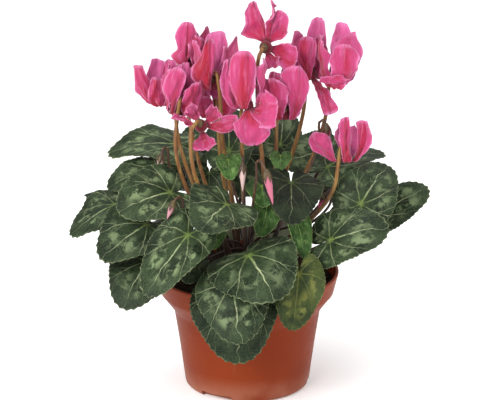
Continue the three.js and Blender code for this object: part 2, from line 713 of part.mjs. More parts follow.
function budSolid({ top, tip, girth }, foot) {
  const crest = vector(top);
  const point = vector(tip);
  const lead = point.clone().sub(crest);
  const side = new THREE.Vector3(lead.x, lead.y, 0).multiplyScalar(0.5);
  const length = lead.length();
  const neck = crest.clone().addScaledVector(lead, 0.3).addScaledVector(side, 0.6);
  const span = crest.distanceTo(foot.point) * STEM_BEND;
  const stem = new THREE.CubicBezierCurve3(
    foot.point,
    foot.point.clone().addScaledVector(foot.normal, span),
    crest.clone().sub(side).addScaledVector(UP, -span),
    crest,
  );
  const points = [...stem.getPoints(8), neck];
  const [belly, waist] = [length * 0.3, length * 0.6];
  const profile = [[0, 0], [girth * 0.55, 1], [girth, belly], [girth * 0.7, waist], [0, length]];
  const bud = turned(profile, BUD_SIDES);
  const heading = point.clone().sub(neck).normalize();
  bud.scale(1, 1, 0.8).applyQuaternion(new THREE.Quaternion().setFromUnitVectors(UP, heading));
  const start = neck.clone().addScaledVector(heading, -1.1);
  return stalk(points, BUD_STALK).add(solidOf(bud.translate(start.x, start.y, start.z)));
}

function budCluster({ crown: place, buds }) {
  const foot = footOnTuber(...place);
  foot.point.addScaledVector(foot.normal, CROWN.lift);
  return joined([crown(place, CROWN.buds), ...buds.map((bud) => budSolid(bud, foot))]);
}

function potSolid() {
  const outside = [
    [0, 0],
    [FOOT_RADIUS - FOOT_ROUNDING, 0],
    [FOOT_RADIUS - 0.9, 0.9],
    [FOOT_RADIUS, FOOT_ROUNDING],
    [SHOULDER_RADIUS, SHOULDER_HEIGHT],
    [COLLAR_RADIUS, COLLAR_HEIGHT],
    [RIM_RADIUS, RIM_HEIGHT - 1],
    [RIM_RADIUS - 0.6, RIM_HEIGHT],
  ];
  const inside = [
    [RIM_RADIUS - WALL - 0.6, RIM_HEIGHT],
    [RIM_RADIUS - WALL - 0.8, RIM_HEIGHT - 1],
    [COLLAR_RADIUS - WALL, COLLAR_HEIGHT + 1],
    [SHOULDER_RADIUS - WALL, SHOULDER_HEIGHT + 1],
    [FOOT_RADIUS - WALL + 0.3, FLOOR],
    [0, FLOOR],
  ];
  let pot = solidOf(turned([...outside, ...inside], POT_SIDES));
  for (let i = 0; i < NOTCH.count; i++) {
    const cut = new THREE.BoxGeometry(2 * NOTCH.depth, NOTCH.width, 2 * NOTCH.height);
    cut.translate(FOOT_RADIUS, 0, 0).rotateZ(radians(NOTCH.first + (360 * i) / NOTCH.count));
    pot = pot.subtract(solidOf(cut));
  }
  return pot;
}

function soilSolid() {
  const clear = WALL + 0.7;
  const seat = TUBER.radius + SEAT_GAP;
  const profile = [
    [0, FLOOR + SEAT_GAP],
    [FOOT_RADIUS - clear, FLOOR + SEAT_GAP],
    [SHOULDER_RADIUS - clear, SHOULDER_HEIGHT + 1],
    [COLLAR_RADIUS - clear, COLLAR_HEIGHT + 1],
    [COLLAR_RADIUS - clear + 1.4, SOIL_EDGE_HEIGHT],
    [SOIL_SLOPE.by, SOIL_EDGE_HEIGHT + SOIL_SLOPE.rise],
    [SOIL_SLOPE.from, SOIL_CROWN_HEIGHT],
    [seat + 0.4, SOIL_CROWN_HEIGHT - 0.4],
    [seat, TUBER.middle - TUBER.halfHeight * 0.25],
    [seat * 0.85, TUBER.middle - TUBER.halfHeight * 0.65],
    [seat * 0.45, TUBER.middle - TUBER.halfHeight * 0.98],
    [0, TUBER.middle - TUBER.halfHeight - SEAT_GAP],
  ];
  return solidOf(turned(profile, SOIL_SIDES));
}

function tuberSolid() {
  const ball = new THREE.SphereGeometry(1, TUBER.sides, TUBER.rows).rotateX(Math.PI / 2);
  ball.scale(TUBER.radius, TUBER.radius, TUBER.halfHeight).translate(0, 0, TUBER.middle);
  return solidOf(ball);
}

const plant = new THREE.Group();

function addNode(name, solid, material) {
  const mesh = new THREE.Mesh(geometryOf(solid), material);
  mesh.name = name;
  plant.add(mesh);
}

const numbered = (word, i) => word + "_" + String(i + 1).padStart(2, "0");

addNode("pot", potSolid(), MATERIALS.pot);
addNode("soil", soilSolid(), MATERIALS.soil);
addNode("tuber", tuberSolid(), MATERIALS.tuber);
LEAVES.forEach((leaf, i) => addNode(numbered("leaf", i), leafSolid(leaf), MATERIALS.leaf));
addNode("young_leaves", youngLeaves(), MATERIALS.young);
FLOWERS.forEach((flower, i) => {
  addNode(numbered("bloom", i), bloomSolid(flower, i), MATERIALS.petal);
  addNode(numbered("stalk", i), flowerStalk(flower), MATERIALS.stalk);
});
for (const [side, cluster] of Object.entries(BUDS)) {
  addNode("buds_" + side, budCluster(cluster), MATERIALS.stalk);
}

export default plant;
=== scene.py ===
import math
import random

import bpy
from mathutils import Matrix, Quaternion, Vector, noise


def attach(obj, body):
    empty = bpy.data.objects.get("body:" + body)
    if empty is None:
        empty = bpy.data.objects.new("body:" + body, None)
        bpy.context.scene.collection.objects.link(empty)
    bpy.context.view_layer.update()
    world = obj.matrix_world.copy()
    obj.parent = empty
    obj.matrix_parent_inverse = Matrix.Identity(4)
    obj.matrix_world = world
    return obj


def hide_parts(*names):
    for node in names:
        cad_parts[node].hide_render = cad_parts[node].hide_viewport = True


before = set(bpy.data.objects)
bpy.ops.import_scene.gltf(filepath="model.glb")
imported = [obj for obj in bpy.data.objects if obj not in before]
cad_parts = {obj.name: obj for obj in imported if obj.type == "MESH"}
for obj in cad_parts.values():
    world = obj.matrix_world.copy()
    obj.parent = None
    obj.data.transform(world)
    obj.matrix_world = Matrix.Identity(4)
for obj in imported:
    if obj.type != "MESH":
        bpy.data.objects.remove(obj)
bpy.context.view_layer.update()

mm = 0.001  # the tables below are in millimetres, the scene in metres
upward = Vector((0, 0, 1))


# Camera, floor and light

view = {
    "position": (0.002, -1.35, 0.566),
    "pitch": 17.7,  # degrees below the horizon
    "lens": 145.5,
    "sensor": 36,
}
studio = {
    "sky": 0.7,
    "floor": {"size": 12, "below": 0.0004},
    "aim": (0, 0, 0.14),  # where every lamp looks
    "key": {"place": (-0.9, -1.2, 1.1), "power": 29, "size": 0.9},
    "fill": {"place": (1.2, -1.0, 0.8), "power": 8, "size": 1.2},
    "top": {"place": (0.1, 0.5, 1.6), "power": 12, "size": 1.4},
}


def makeCamera():
    turn = (math.radians(90 - view["pitch"]), 0, 0)
    bpy.ops.object.camera_add(location=view["position"], rotation=turn)
    camera = bpy.context.active_object
    camera.name = "photoCamera"
    camera.data.lens = view["lens"]
    camera.data.sensor_width = view["sensor"]
    bpy.context.scene.camera = camera
    bpy.context.scene.view_settings.view_transform = "Standard"


def softLight(name, place, power, size):
    bpy.ops.object.light_add(type="AREA", location=place)
    lamp = bpy.context.active_object
    lamp.name = name
    lamp.data.energy = power
    lamp.data.size = size
    aim = Vector(studio["aim"]) - Vector(place)
    lamp.rotation_euler = aim.to_track_quat("-Z", "Y").to_euler()


def makeSky():
    world = bpy.data.worlds.new("paleSky")
    world.use_nodes = True
    background = world.node_tree.nodes["Background"]
    background.inputs["Color"].default_value = (1, 1, 1, 1)
    background.inputs["Strength"].default_value = studio["sky"]
    bpy.context.scene.world = world


# Small helpers for building materials

def paint(red, green, blue):
    def straight(value):  # screen colour to the renderer's own scale
        share = value / 255
        return share / 12.92 if share <= 0.04045 else ((share + 0.055) / 1.055) ** 2.4
    return (straight(red), straight(green), straight(blue), 1)


def paints(rows):
    return {name: paint(*value) for name, value in rows.items()}


def feed(tree, socket, value):
    if isinstance(value, bpy.types.NodeSocket):
        tree.links.new(value, socket)
    elif value is not None:
        socket.default_value = value


def sums(tree, operation, first, second=None, third=None):
    node = tree.nodes.new("ShaderNodeMath")
    node.operation = operation
    for socket, value in zip(node.inputs, (first, second, third)):
        feed(tree, socket, value)
    return node.outputs[0]


def times(tree, first, second):
    return sums(tree, "MULTIPLY", first, second)


def plus(tree, first, second):
    return sums(tree, "ADD", first, second)


def minus(tree, first, second):
    return sums(tree, "SUBTRACT", first, second)


def scaled(tree, value, factor, offset):  # value times factor, plus offset
    return sums(tree, "MULTIPLY_ADD", value, factor, offset)


def amount(tree, value):
    return sums(tree, "ABSOLUTE", value)


def ramp(tree, value, low, high, start=0.0, end=1.0):
    node = tree.nodes.new("ShaderNodeMapRange")
    node.interpolation_type = "SMOOTHSTEP"
    limits = (("Value", value), ("From Min", low), ("From Max", high), ("To Min", start), ("To Max", end))
    for name, given in limits:
        feed(tree, node.inputs[name], given)
    return node.outputs["Result"]


def blend(tree, share, first, second):
    node = tree.nodes.new("ShaderNodeMix")
    node.data_type = "RGBA"
    feed(tree, node.inputs[0], share)
    feed(tree, node.inputs[6], first)
    feed(tree, node.inputs[7], second)
    return node.outputs[2]


def cover(tree, colour, mask, strength, layer):  # the layer's colour over the mask, at that strength
    return blend(tree, times(tree, mask, strength), colour, layer)


def noiseOf(tree, place, scale, detail=3.0, rough=0.55, stretch=None, seed=None):
    if stretch:
        mapping = tree.nodes.new("ShaderNodeMapping")
        feed(tree, mapping.inputs["Vector"], place)
        mapping.inputs["Scale"].default_value = stretch
        place = mapping.outputs["Vector"]
    node = tree.nodes.new("ShaderNodeTexNoise")
    if seed is not None:
        node.noise_dimensions = "4D"
        feed(tree, node.inputs["W"], seed)
    for name, given in (("Vector", place), ("Scale", scale), ("Detail", detail), ("Roughness", rough)):
        feed(tree, node.inputs[name], given)
    return node.outputs[0]


def cellEdges(tree, place, scale):  # distance to the nearest border between cells
    node = tree.nodes.new("ShaderNodeTexVoronoi")
    node.feature = "DISTANCE_TO_EDGE"
    node.inputs["Scale"].default_value = scale
    feed(tree, node.inputs["Vector"], place)
    return node.outputs["Distance"]


def attributeOf(tree, name):
    node = tree.nodes.new("ShaderNodeAttribute")
    node.attribute_name = name
    return node.outputs["Fac"]


def coordinates(tree, kind):
    return tree.nodes.new("ShaderNodeTexCoord").outputs[kind]


def partsOf(tree, vector):
    node = tree.nodes.new("ShaderNodeSeparateXYZ")
    tree.links.new(vector, node.inputs[0])
    return tuple(node.outputs)


def newMaterial(name, roughness, **fixed):
    material = bpy.data.materials.new(name)
    material.use_nodes = True
    shader = material.node_tree.nodes["Principled BSDF"]
    shader.inputs["Roughness"].default_value = roughness
    for socket, value in fixed.items():
        shader.inputs[socket.replace("_", " ")].default_value = value
    return material, material.node_tree, shader


def addBump(tree, shader, height, distance, strength):
    node = tree.nodes.new("ShaderNodeBump")
    node.inputs["Strength"].default_value = strength
    node.inputs["Distance"].default_value = distance
    feed(tree, node.inputs["Height"], height)
    tree.links.new(node.outputs["Normal"], shader.inputs["Normal"])


def newGroup(name, inputs, outputs):  # inputs: label, kind of socket and value; every output is a number
    group = bpy.data.node_groups.new(name, "ShaderNodeTree")
    for label, kind, value in inputs:
        socket = group.interface.new_socket(label, in_out="INPUT", socket_type=kind)
        if value is not None:
            socket.default_value = value
    for label in outputs:
        group.interface.new_socket(label, in_out="OUTPUT", socket_type="NodeSocketFloat")
    return group, group.nodes.new("NodeGroupInput").outputs, group.nodes.new("NodeGroupOutput").inputs


def useGroup(tree, group, **values):
    node = tree.nodes.new("ShaderNodeGroup")
    node.node_tree = group
    for label, value in values.items():
        feed(tree, node.inputs[label], value)
    return node.outputs


# Mottling that every finish shares: soft patches, fine specks and a fine grain

mottlePlan = {
    "fineness": 14.0,  # how much finer the specks are than the patches
    "patches": (0.35, 0.65),
    "specks": (0.6, 0.72),
}


def makeMottle():
    group, given, out = newGroup(
        "mottle",
        [
            ("Place", "NodeSocketVector", None),
            ("Scale", "NodeSocketFloat", 30.0),
            ("Seed", "NodeSocketFloat", 0.0),
        ],
        ["Patches", "Specks", "Grain"],
    )
    large = noiseOf(group, given["Place"], given["Scale"], 3.0, 0.5, seed=given["Seed"])
    fineScale = times(group, given["Scale"], mottlePlan["fineness"])
    fine = noiseOf(group, given["Place"], fineScale, 5.0, 0.5, seed=given["Seed"])
    group.links.new(ramp(group, large, *mottlePlan["patches"]), out["Patches"])
    group.links.new(ramp(group, fine, *mottlePlan["specks"]), out["Specks"])
    group.links.new(fine, out["Grain"])
    return group


# Veins of a heart-shaped blade, drawn over its own flat shape: the leaf stalk joins at the origin and
# the tip lies along the first axis. Main veins fan out from the stalk, curve forward and fork twice.

veinPlan = {
    "spacing": 0.84,  # angle between main veins
    "sweep": 0.42,  # how much they bend towards the tip
    "wobble": 0.3,
    "width": (0.02, 0.006),  # at the stalk and near the edge, where the blade is 1 long
    "sharpness": 0.35,  # share of the width that is in full colour
    "midrib": (0.5, 0.4),  # how much broader and stronger the midrib is than the rest
    "main": (0.9, 0.6),  # breadth and strength of the others
    "shift": 0.09,  # how far a fork moves along its vein
    "forks": (  # distance from the stalk, spread, breadth and strength
        (0.42, 0.62, 0.65, 0.4),
        (0.66, 1.0, 0.5, 0.2),
    ),
    "netScale": 15.0,
    "netWidth": (0.01, 0.07),
}


def makeVeins():
    group, given, out = newGroup(
        "leafVeins",
        [("Flat", "NodeSocketVector", None), ("Seed", "NodeSocketFloat", 0.0)],
        ["Veins", "Net", "Radius", "Between"],
    )
    flat, seed = given["Flat"], given["Seed"]
    along, across = partsOf(group, flat)[:2]
    radius = sums(group, "SQRT", plus(group, times(group, along, along), times(group, across, across)))
    angle = sums(group, "ARCTAN2", across, along)
    wobble = minus(group, noiseOf(group, flat, 2.6, 2.0, seed=seed), 0.5)
    turned = amount(group, scaled(group, wobble, veinPlan["wobble"], angle))
    sweep = times(group, radius, sums(group, "MINIMUM", times(group, turned, 1.6), 1.0))
    lane = sums(group, "DIVIDE", scaled(group, sweep, veinPlan["sweep"], turned), veinPlan["spacing"])
    index = sums(group, "ROUND", lane)
    aside = minus(group, lane, index)
    offset = times(group, amount(group, aside), veinPlan["spacing"])
    # each side of each main vein forks at its own distance
    uneven = scaled(group, index, 2.4, times(group, sums(group, "SIGN", aside), 1.3))
    uneven = plus(group, uneven, scaled(group, sums(group, "SIGN", across), 0.9, seed))
    shift = times(group, sums(group, "SINE", uneven), veinPlan["shift"])
    width = ramp(group, radius, 0.0, 0.95, *veinPlan["width"])

    def line(gap, share):
        reach = times(group, width, share)
        return ramp(group, gap, times(group, reach, veinPlan["sharpness"]), reach, 1.0, 0.0)

    midrib = sums(group, "LESS_THAN", index, 0.5)
    broad, strong = (
        scaled(group, midrib, more, least) for more, least in zip(veinPlan["midrib"], veinPlan["main"])
    )
    strongest = times(group, line(times(group, radius, offset), broad), strong)
    for start, spread, share, weight in veinPlan["forks"]:
        begin = plus(group, shift, start)
        gone = minus(group, 1.0, sums(group, "DIVIDE", begin, sums(group, "MAXIMUM", radius, 0.01)))
        lead = times(group, gone, spread)
        gap = times(group, radius, amount(group, minus(group, offset, lead)))
        branch = times(group, line(gap, share), sums(group, "GREATER_THAN", radius, begin))
        strongest = sums(group, "MAXIMUM", strongest, times(group, branch, weight))
    broken = ramp(group, noiseOf(group, flat, 11.0, 2.0, seed=seed), 0.36, 0.56, 0.3, 1.0)
    faded = ramp(group, radius, 0.55, 1.0, 1.0, 0.4)
    net = ramp(group, cellEdges(group, flat, veinPlan["netScale"]), *veinPlan["netWidth"], 1.0, 0.0)
    group.links.new(times(group, strongest, times(group, broken, faded)), out["Veins"])
    group.links.new(net, out["Net"])
    group.links.new(radius, out["Radius"])
    group.links.new(ramp(group, amount(group, aside), 0.1, 0.4), out["Between"])
    return group


mottle = makeMottle()
leafVeins = makeVeins()


# Leaf finishes. "silver" marks the broken ring between midrib and edge, "bright" lifts the whole blade
# and "seed" moves the pattern; each leaf carries its own values.

leafPaint = {
    "green": {
        "dark": (17, 30, 14), "middle": (43, 58, 35), "patch": (109, 125, 88), "vein": (164, 174, 132),
        "throat": (110, 130, 68), "edge": (112, 120, 86),
    },
    "olive": {
        "dark": (29, 42, 20), "middle": (58, 70, 32), "patch": (100, 104, 50), "vein": (112, 116, 66),
        "throat": (108, 114, 54), "edge": (98, 104, 60),
    },
    "young": {
        "dark": (38, 66, 28), "middle": (66, 98, 46), "patch": (114, 142, 82), "vein": (150, 172, 108),
        "throat": (140, 168, 66), "edge": (150, 170, 104),
    },
}
leafPattern = {
    "blotchScale": 3.4,
    "silverStarts": (0.3, 0.56),  # reaches, from 0 at the stalk to 1 at the edge
    "silverEnds": (0.72, 0.88),
    "cloudScale": 6.0,
    "clouds": (0.46, 0.58),  # lower numbers break the silver less
    "onVeins": 0.4,  # share of the silver that stays where a main vein runs
    "specks": 0.45,
    "net": 0.05,
    "veins": 0.85,
    "throatEnds": (0.05, 0.34),
    "rimReach": (0.972, 0.992),
    "rim": (0.1, 0.75),
}


def makeLeafMaterial(kind):
    colours = paints(leafPaint[kind])
    pattern = leafPattern
    material, tree, shader = newMaterial("leaf_" + kind, 0.55, Specular_IOR_Level=0.16)
    flat = coordinates(tree, "UV")
    seed, reach = attributeOf(tree, "seed"), attributeOf(tree, "reach")
    veins = useGroup(tree, leafVeins, Flat=flat, Seed=seed)
    spots = useGroup(tree, mottle, Place=flat, Scale=pattern["blotchScale"], Seed=seed)
    colour = blend(tree, spots["Patches"], colours["dark"], colours["middle"])
    cloud = ramp(tree, noiseOf(tree, flat, pattern["cloudScale"], 5.0, 0.6, seed=seed), *pattern["clouds"])
    between = scaled(tree, veins["Between"], 1 - pattern["onVeins"], pattern["onVeins"])
    ring = ramp(tree, reach, *pattern["silverStarts"])
    ring = times(tree, ring, ramp(tree, reach, *pattern["silverEnds"], 1.0, 0.05))
    for mask in (cloud, attributeOf(tree, "silver"), between):
        ring = times(tree, ring, mask)
    colour = blend(tree, ring, colour, colours["patch"])
    colour = cover(tree, colour, spots["Specks"], pattern["specks"], colours["patch"])
    colour = cover(tree, colour, veins["Net"], pattern["net"], colours["vein"])
    veinColour = ramp(tree, veins["Radius"], *pattern["throatEnds"])
    veinColour = blend(tree, veinColour, colours["throat"], colours["vein"])
    colour = cover(tree, colour, veins["Veins"], pattern["veins"], veinColour)
    colour = blend(tree, ramp(tree, veins["Radius"], 0.01, 0.09, 0.6, 0.0), colour, colours["throat"])
    rim = ramp(tree, noiseOf(tree, flat, 26.0, 2.0, seed=seed), 0.42, 0.58, *pattern["rim"])
    colour = cover(tree, colour, rim, ramp(tree, reach, *pattern["rimReach"]), colours["edge"])
    lift = tree.nodes.new("ShaderNodeHueSaturation")
    feed(tree, lift.inputs["Value"], attributeOf(tree, "bright"))
    feed(tree, lift.inputs["Color"], colour)
    tree.links.new(lift.outputs[0], shader.inputs["Base Color"])
    feed(tree, shader.inputs["Roughness"], scaled(tree, spots["Grain"], 0.3, 0.36))
    height = scaled(tree, veins["Net"], -0.25, times(tree, veins["Veins"], -1.0))
    addBump(tree, shader, scaled(tree, spots["Grain"], 0.4, height), 0.0006, 0.8)
    return material


undersidePaint = {"dark": (48, 62, 34), "middle": (70, 82, 50), "net": (98, 86, 60), "vein": (112, 94, 64)}


def makeUndersideMaterial():
    colours = paints(undersidePaint)
    material, tree, shader = newMaterial("leaf_underside", 0.6, Specular_IOR_Level=0.3)
    flat, seed = coordinates(tree, "UV"), attributeOf(tree, "seed")
    veins = useGroup(tree, leafVeins, Flat=flat, Seed=seed)
    spots = useGroup(tree, mottle, Place=flat, Scale=3.0, Seed=seed)
    colour = blend(tree, spots["Patches"], colours["dark"], colours["middle"])
    colour = cover(tree, colour, veins["Net"], 0.2, colours["net"])
    colour = cover(tree, colour, veins["Veins"], 0.8, colours["vein"])
    feed(tree, shader.inputs["Base Color"], colour)
    addBump(tree, shader, scaled(tree, spots["Grain"], 0.3, veins["Veins"]), 0.0007, 0.8)
    return material


# Petal finish: dark red in the throat, red along the middle, pink outwards, a pale lilac edge and fine
# streaks that run the petal's length.

petalPaint = {
    "throat": (88, 12, 28),
    "red": (158, 22, 46),
    "pink": (179, 53, 102),
    # far: a painted light pink for the shaded petals on the far side, as if lit from behind
    "far": (204, 84, 138),
    "edge": (216, 130, 176),
}
petalPattern = {
    "middleRed": 0.5,
    "baseRed": 0.7,
    "streaks": 0.7,  # how much the streaks and the clouds change the red
    "clouds": 2.4,
    "blotches": 0.3,
    "fringe": 0.8,
    "throat": 0.9,
}


def makePetalMaterial():
    colours = paints(petalPaint)
    pattern = petalPattern
    material, tree, shader = newMaterial(
        "petal", 0.6, Specular_IOR_Level=0.2, Sheen_Weight=0.2, Sheen_Roughness=0.5,
        Subsurface_Weight=0.25, Subsurface_Scale=0.006, Subsurface_Radius=(1.0, 0.4, 0.6),
    )
    flat, seed = coordinates(tree, "UV"), attributeOf(tree, "seed")
    across, along = partsOf(tree, flat)[:2]
    streak = noiseOf(tree, flat, 5.0, 5.0, 0.6, stretch=(3.0, 0.35, 1.0), seed=seed)
    cloud = noiseOf(tree, flat, 1.3, 2.0, 0.5, seed=seed)
    middle = times(tree, sums(tree, "SINE", seed), 0.35)
    redness = ramp(tree, amount(tree, minus(tree, across, middle)), 0.0, 1.1, pattern["middleRed"], 0.0)
    redness = plus(tree, redness, ramp(tree, along, 0.15, 0.8, pattern["baseRed"], 0.0))
    redness = plus(tree, redness, attributeOf(tree, "redness"))
    for mask, strength in ((streak, pattern["streaks"]), (cloud, pattern["clouds"])):
        redness = plus(tree, redness, times(tree, minus(tree, mask, 0.5), strength))
    colour = blend(tree, ramp(tree, redness, 0.05, 1.0), colours["pink"], colours["red"])
    # painted light: petals on the far side are blended towards the lighter far pink
    colour = blend(tree, attributeOf(tree, "paintedBacklight"), colour, colours["far"])
    blotch = noiseOf(tree, flat, 4.0, 4.0, 0.65, stretch=(1.0, 0.7, 1.0), seed=seed)
    colour = cover(tree, colour, ramp(tree, blotch, 0.5, 0.68), pattern["blotches"], colours["edge"])
    fringe = sums(tree, "MAXIMUM", ramp(tree, amount(tree, across), 0.8, 1.0), ramp(tree, along, 0.93, 1.0))
    fringe = times(tree, fringe, ramp(tree, noiseOf(tree, flat, 9.0, 2.0, seed=seed), 0.35, 0.6))
    colour = cover(tree, colour, fringe, pattern["fringe"], colours["edge"])
    colour = blend(tree, ramp(tree, along, 0.05, 0.24, pattern["throat"], 0.0), colour, colours["throat"])
    feed(tree, shader.inputs["Base Color"], colour)
    feed(tree, shader.inputs["Roughness"], scaled(tree, streak, 0.3, 0.45))
    addBump(tree, shader, streak, 0.001, 0.8)
    return material


# Stalks and calyxes: streaked along their length, with painted shade that darkens them towards the tuber
# under the leaves

stalkPaint = {
    "leafStalk": {"dark": (52, 30, 22), "middle": (74, 46, 30), "light": (98, 72, 46)},
    "flowerStalk": {"dark": (102, 57, 30), "middle": (128, 88, 42), "light": (150, 120, 62)},
    "calyx": {"dark": (52, 34, 26), "middle": (76, 58, 36), "light": (104, 92, 52)},
}
# painted shade: a dark brown low down, where the leaves shade the stalks near the tuber
paintedStalkShade = {"colour": (38, 24, 18), "heights": (0.1, 0.165), "strength": 0.85}


def makeStalkMaterial(name):
    colours = paints(stalkPaint[name])
    material, tree, shader = newMaterial(name, 0.5, Specular_IOR_Level=0.4)
    place = coordinates(tree, "Object")
    spots = useGroup(tree, mottle, Place=place, Scale=60.0, Seed=0.0)
    streak = noiseOf(tree, place, 600.0, 3.0, 0.6, stretch=(1.0, 1.0, 0.06))
    colour = blend(tree, spots["Patches"], colours["dark"], colours["middle"])
    colour = blend(tree, ramp(tree, streak, 0.45, 0.7), colour, colours["light"])
    # painted shade: below these heights the stalks darken towards the tuber
    low = ramp(tree, partsOf(tree, place)[2], *paintedStalkShade["heights"], paintedStalkShade["strength"], 0.0)
    colour = blend(tree, low, colour, paint(*paintedStalkShade["colour"]))
    feed(tree, shader.inputs["Base Color"], colour)
    feed(tree, shader.inputs["Roughness"], scaled(tree, spots["Grain"], 0.3, 0.35))
    addBump(tree, shader, streak, 0.0004, 0.6)
    return material


budPaint = {
    "pale": (206, 190, 176), "paleStreak": (192, 140, 148),
    "ripe": (160, 44, 80), "ripeStreak": (190, 78, 126), "seam": (120, 36, 60),
}
rolledPetals = {"count": 5.0, "turns": 3.5}  # how they wind round a bud


def makeBudMaterial():
    colours = paints(budPaint)
    material, tree, shader = newMaterial("bud", 0.5, Sheen_Weight=0.2, Specular_IOR_Level=0.3)
    flat = coordinates(tree, "UV")
    around, along = partsOf(tree, flat)[:2]
    spiral = scaled(tree, around, rolledPetals["count"], times(tree, along, rolledPetals["turns"]))
    fold = amount(tree, minus(tree, sums(tree, "FRACT", spiral), 0.5))
    streak = noiseOf(tree, flat, 9.0, 4.0, 0.6, stretch=(3.0, 0.5, 1.0))
    streak = ramp(tree, streak, 0.4, 0.62)
    pale = blend(tree, streak, colours["pale"], colours["paleStreak"])
    ripe = blend(tree, streak, colours["ripe"], colours["ripeStreak"])
    colour = blend(tree, attributeOf(tree, "blush"), pale, ripe)
    colour = blend(tree, ramp(tree, fold, 0.0, 0.12, 0.6, 0.0), colour, colours["seam"])
    feed(tree, shader.inputs["Base Color"], colour)
    addBump(tree, shader, fold, 0.0008, 0.8)
    return material


potPaint = {
    "dark": (119, 45, 19), "middle": (126, 51, 22), "rings": (116, 40, 16), "scuffs": (146, 84, 58),
    "dust": (186, 140, 118),
}


def makePotMaterial():
    colours = paints(potPaint)
    material, tree, shader = newMaterial("potPlastic", 0.46, Specular_IOR_Level=0.08)
    place = coordinates(tree, "Object")
    spots = useGroup(tree, mottle, Place=place, Scale=24.0, Seed=1.0)
    rings = noiseOf(tree, place, 30.0, 4.0, 0.6, stretch=(1.0, 1.0, 14.0))
    scuffs = ramp(tree, noiseOf(tree, place, 90.0, 6.0, 0.7, stretch=(1.0, 1.0, 0.3)), 0.62, 0.74)
    colour = blend(tree, spots["Patches"], colours["dark"], colours["middle"])
    colour = cover(tree, colour, rings, 0.25, colours["rings"])
    colour = cover(tree, colour, scuffs, 0.25, colours["scuffs"])
    dust = ramp(tree, partsOf(tree, place)[2], 0.0, 0.02, 0.35, 0.0)
    colour = cover(tree, colour, dust, spots["Patches"], colours["dust"])
    feed(tree, shader.inputs["Base Color"], colour)
    rough = scaled(tree, spots["Grain"], 0.2, 0.34)
    feed(tree, shader.inputs["Roughness"], scaled(tree, scuffs, 0.2, rough))
    addBump(tree, shader, plus(tree, rings, spots["Grain"]), 0.00025, 0.6)
    return material


peatPaint = {"dark": (28, 18, 13), "middle": (58, 42, 30), "specks": (104, 78, 54)}


def makeSoilMaterial():
    colours = paints(peatPaint)
    material, tree, shader = newMaterial("peat", 0.95, Specular_IOR_Level=0.1)
    place = coordinates(tree, "Object")
    spots = useGroup(tree, mottle, Place=place, Scale=90.0, Seed=2.0)
    colour = blend(tree, spots["Patches"], colours["dark"], colours["middle"])
    colour = cover(tree, colour, spots["Specks"], 0.6, colours["specks"])
    feed(tree, shader.inputs["Base Color"], colour)
    addBump(tree, shader, spots["Grain"], 0.002, 1.0)
    return material


corkPaint = {"dark": (70, 48, 34), "middle": (104, 78, 56), "cracks": (38, 26, 18)}


def makeTuberMaterial():
    colours = paints(corkPaint)
    material, tree, shader = newMaterial("tuberCork", 0.85, Specular_IOR_Level=0.2)
    place = coordinates(tree, "Object")
    spots = useGroup(tree, mottle, Place=place, Scale=70.0, Seed=3.0)
    crack = ramp(tree, cellEdges(tree, place, 210.0), 0.02, 0.16, 1.0, 0.0)
    colour = blend(tree, spots["Patches"], colours["dark"], colours["middle"])
    colour = cover(tree, colour, crack, 0.7, colours["cracks"])
    feed(tree, shader.inputs["Base Color"], colour)
    addBump(tree, shader, minus(tree, spots["Grain"], crack), 0.001, 1.0)
    return material


def makeFloorMaterial():
    material, tree, shader = newMaterial(
        "paleFloor", 0.8, Specular_IOR_Level=0.1, Emission_Color=(1, 1, 1, 1), Emission_Strength=0.15,
    )
    spots = useGroup(tree, mottle, Place=coordinates(tree, "Object"), Scale=3.0, Seed=0.0)
    colour = blend(tree, spots["Patches"], paint(250, 250, 250), paint(253, 253, 253))
    feed(tree, shader.inputs["Base Color"], colour)
    return material


materials = {
    "green": makeLeafMaterial("green"),
    "olive": makeLeafMaterial("olive"),
    "young": makeLeafMaterial("young"),
    "underside": makeUndersideMaterial(),
    "petal": makePetalMaterial(),
    "leafStalk": makeStalkMaterial("leafStalk"),
    "flowerStalk": makeStalkMaterial("flowerStalk"),
    "calyx": makeStalkMaterial("calyx"),
    "bud": makeBudMaterial(),
    "pot": makePotMaterial(),
    "soil": makeSoilMaterial(),
    "tuber": makeTuberMaterial(),
    "floor": makeFloorMaterial(),
}
print("materials made")


# Modelling helpers

def clearSelection():
    bpy.ops.object.select_all(action="DESELECT")


def choose(*chosen):
    clearSelection()
    for piece in chosen:
        piece.select_set(True)
    bpy.context.view_layer.objects.active = chosen[0]


def named(name):
    piece = bpy.context.active_object
    piece.name = name
    piece.data.name = name
    return piece


def gridSheet(name, columns, rows):
    clearSelection()
    bpy.ops.mesh.primitive_grid_add(x_subdivisions=columns, y_subdivisions=rows, size=2)
    return named(name)


def tidyMesh(piece, outward=True):
    choose(piece)
    bpy.ops.object.mode_set(mode="EDIT")
    bpy.ops.mesh.select_all(action="SELECT")
    bpy.ops.mesh.remove_doubles(threshold=1e-6)
    if outward:
        bpy.ops.mesh.normals_make_consistent(inside=False)
    bpy.ops.object.mode_set(mode="OBJECT")


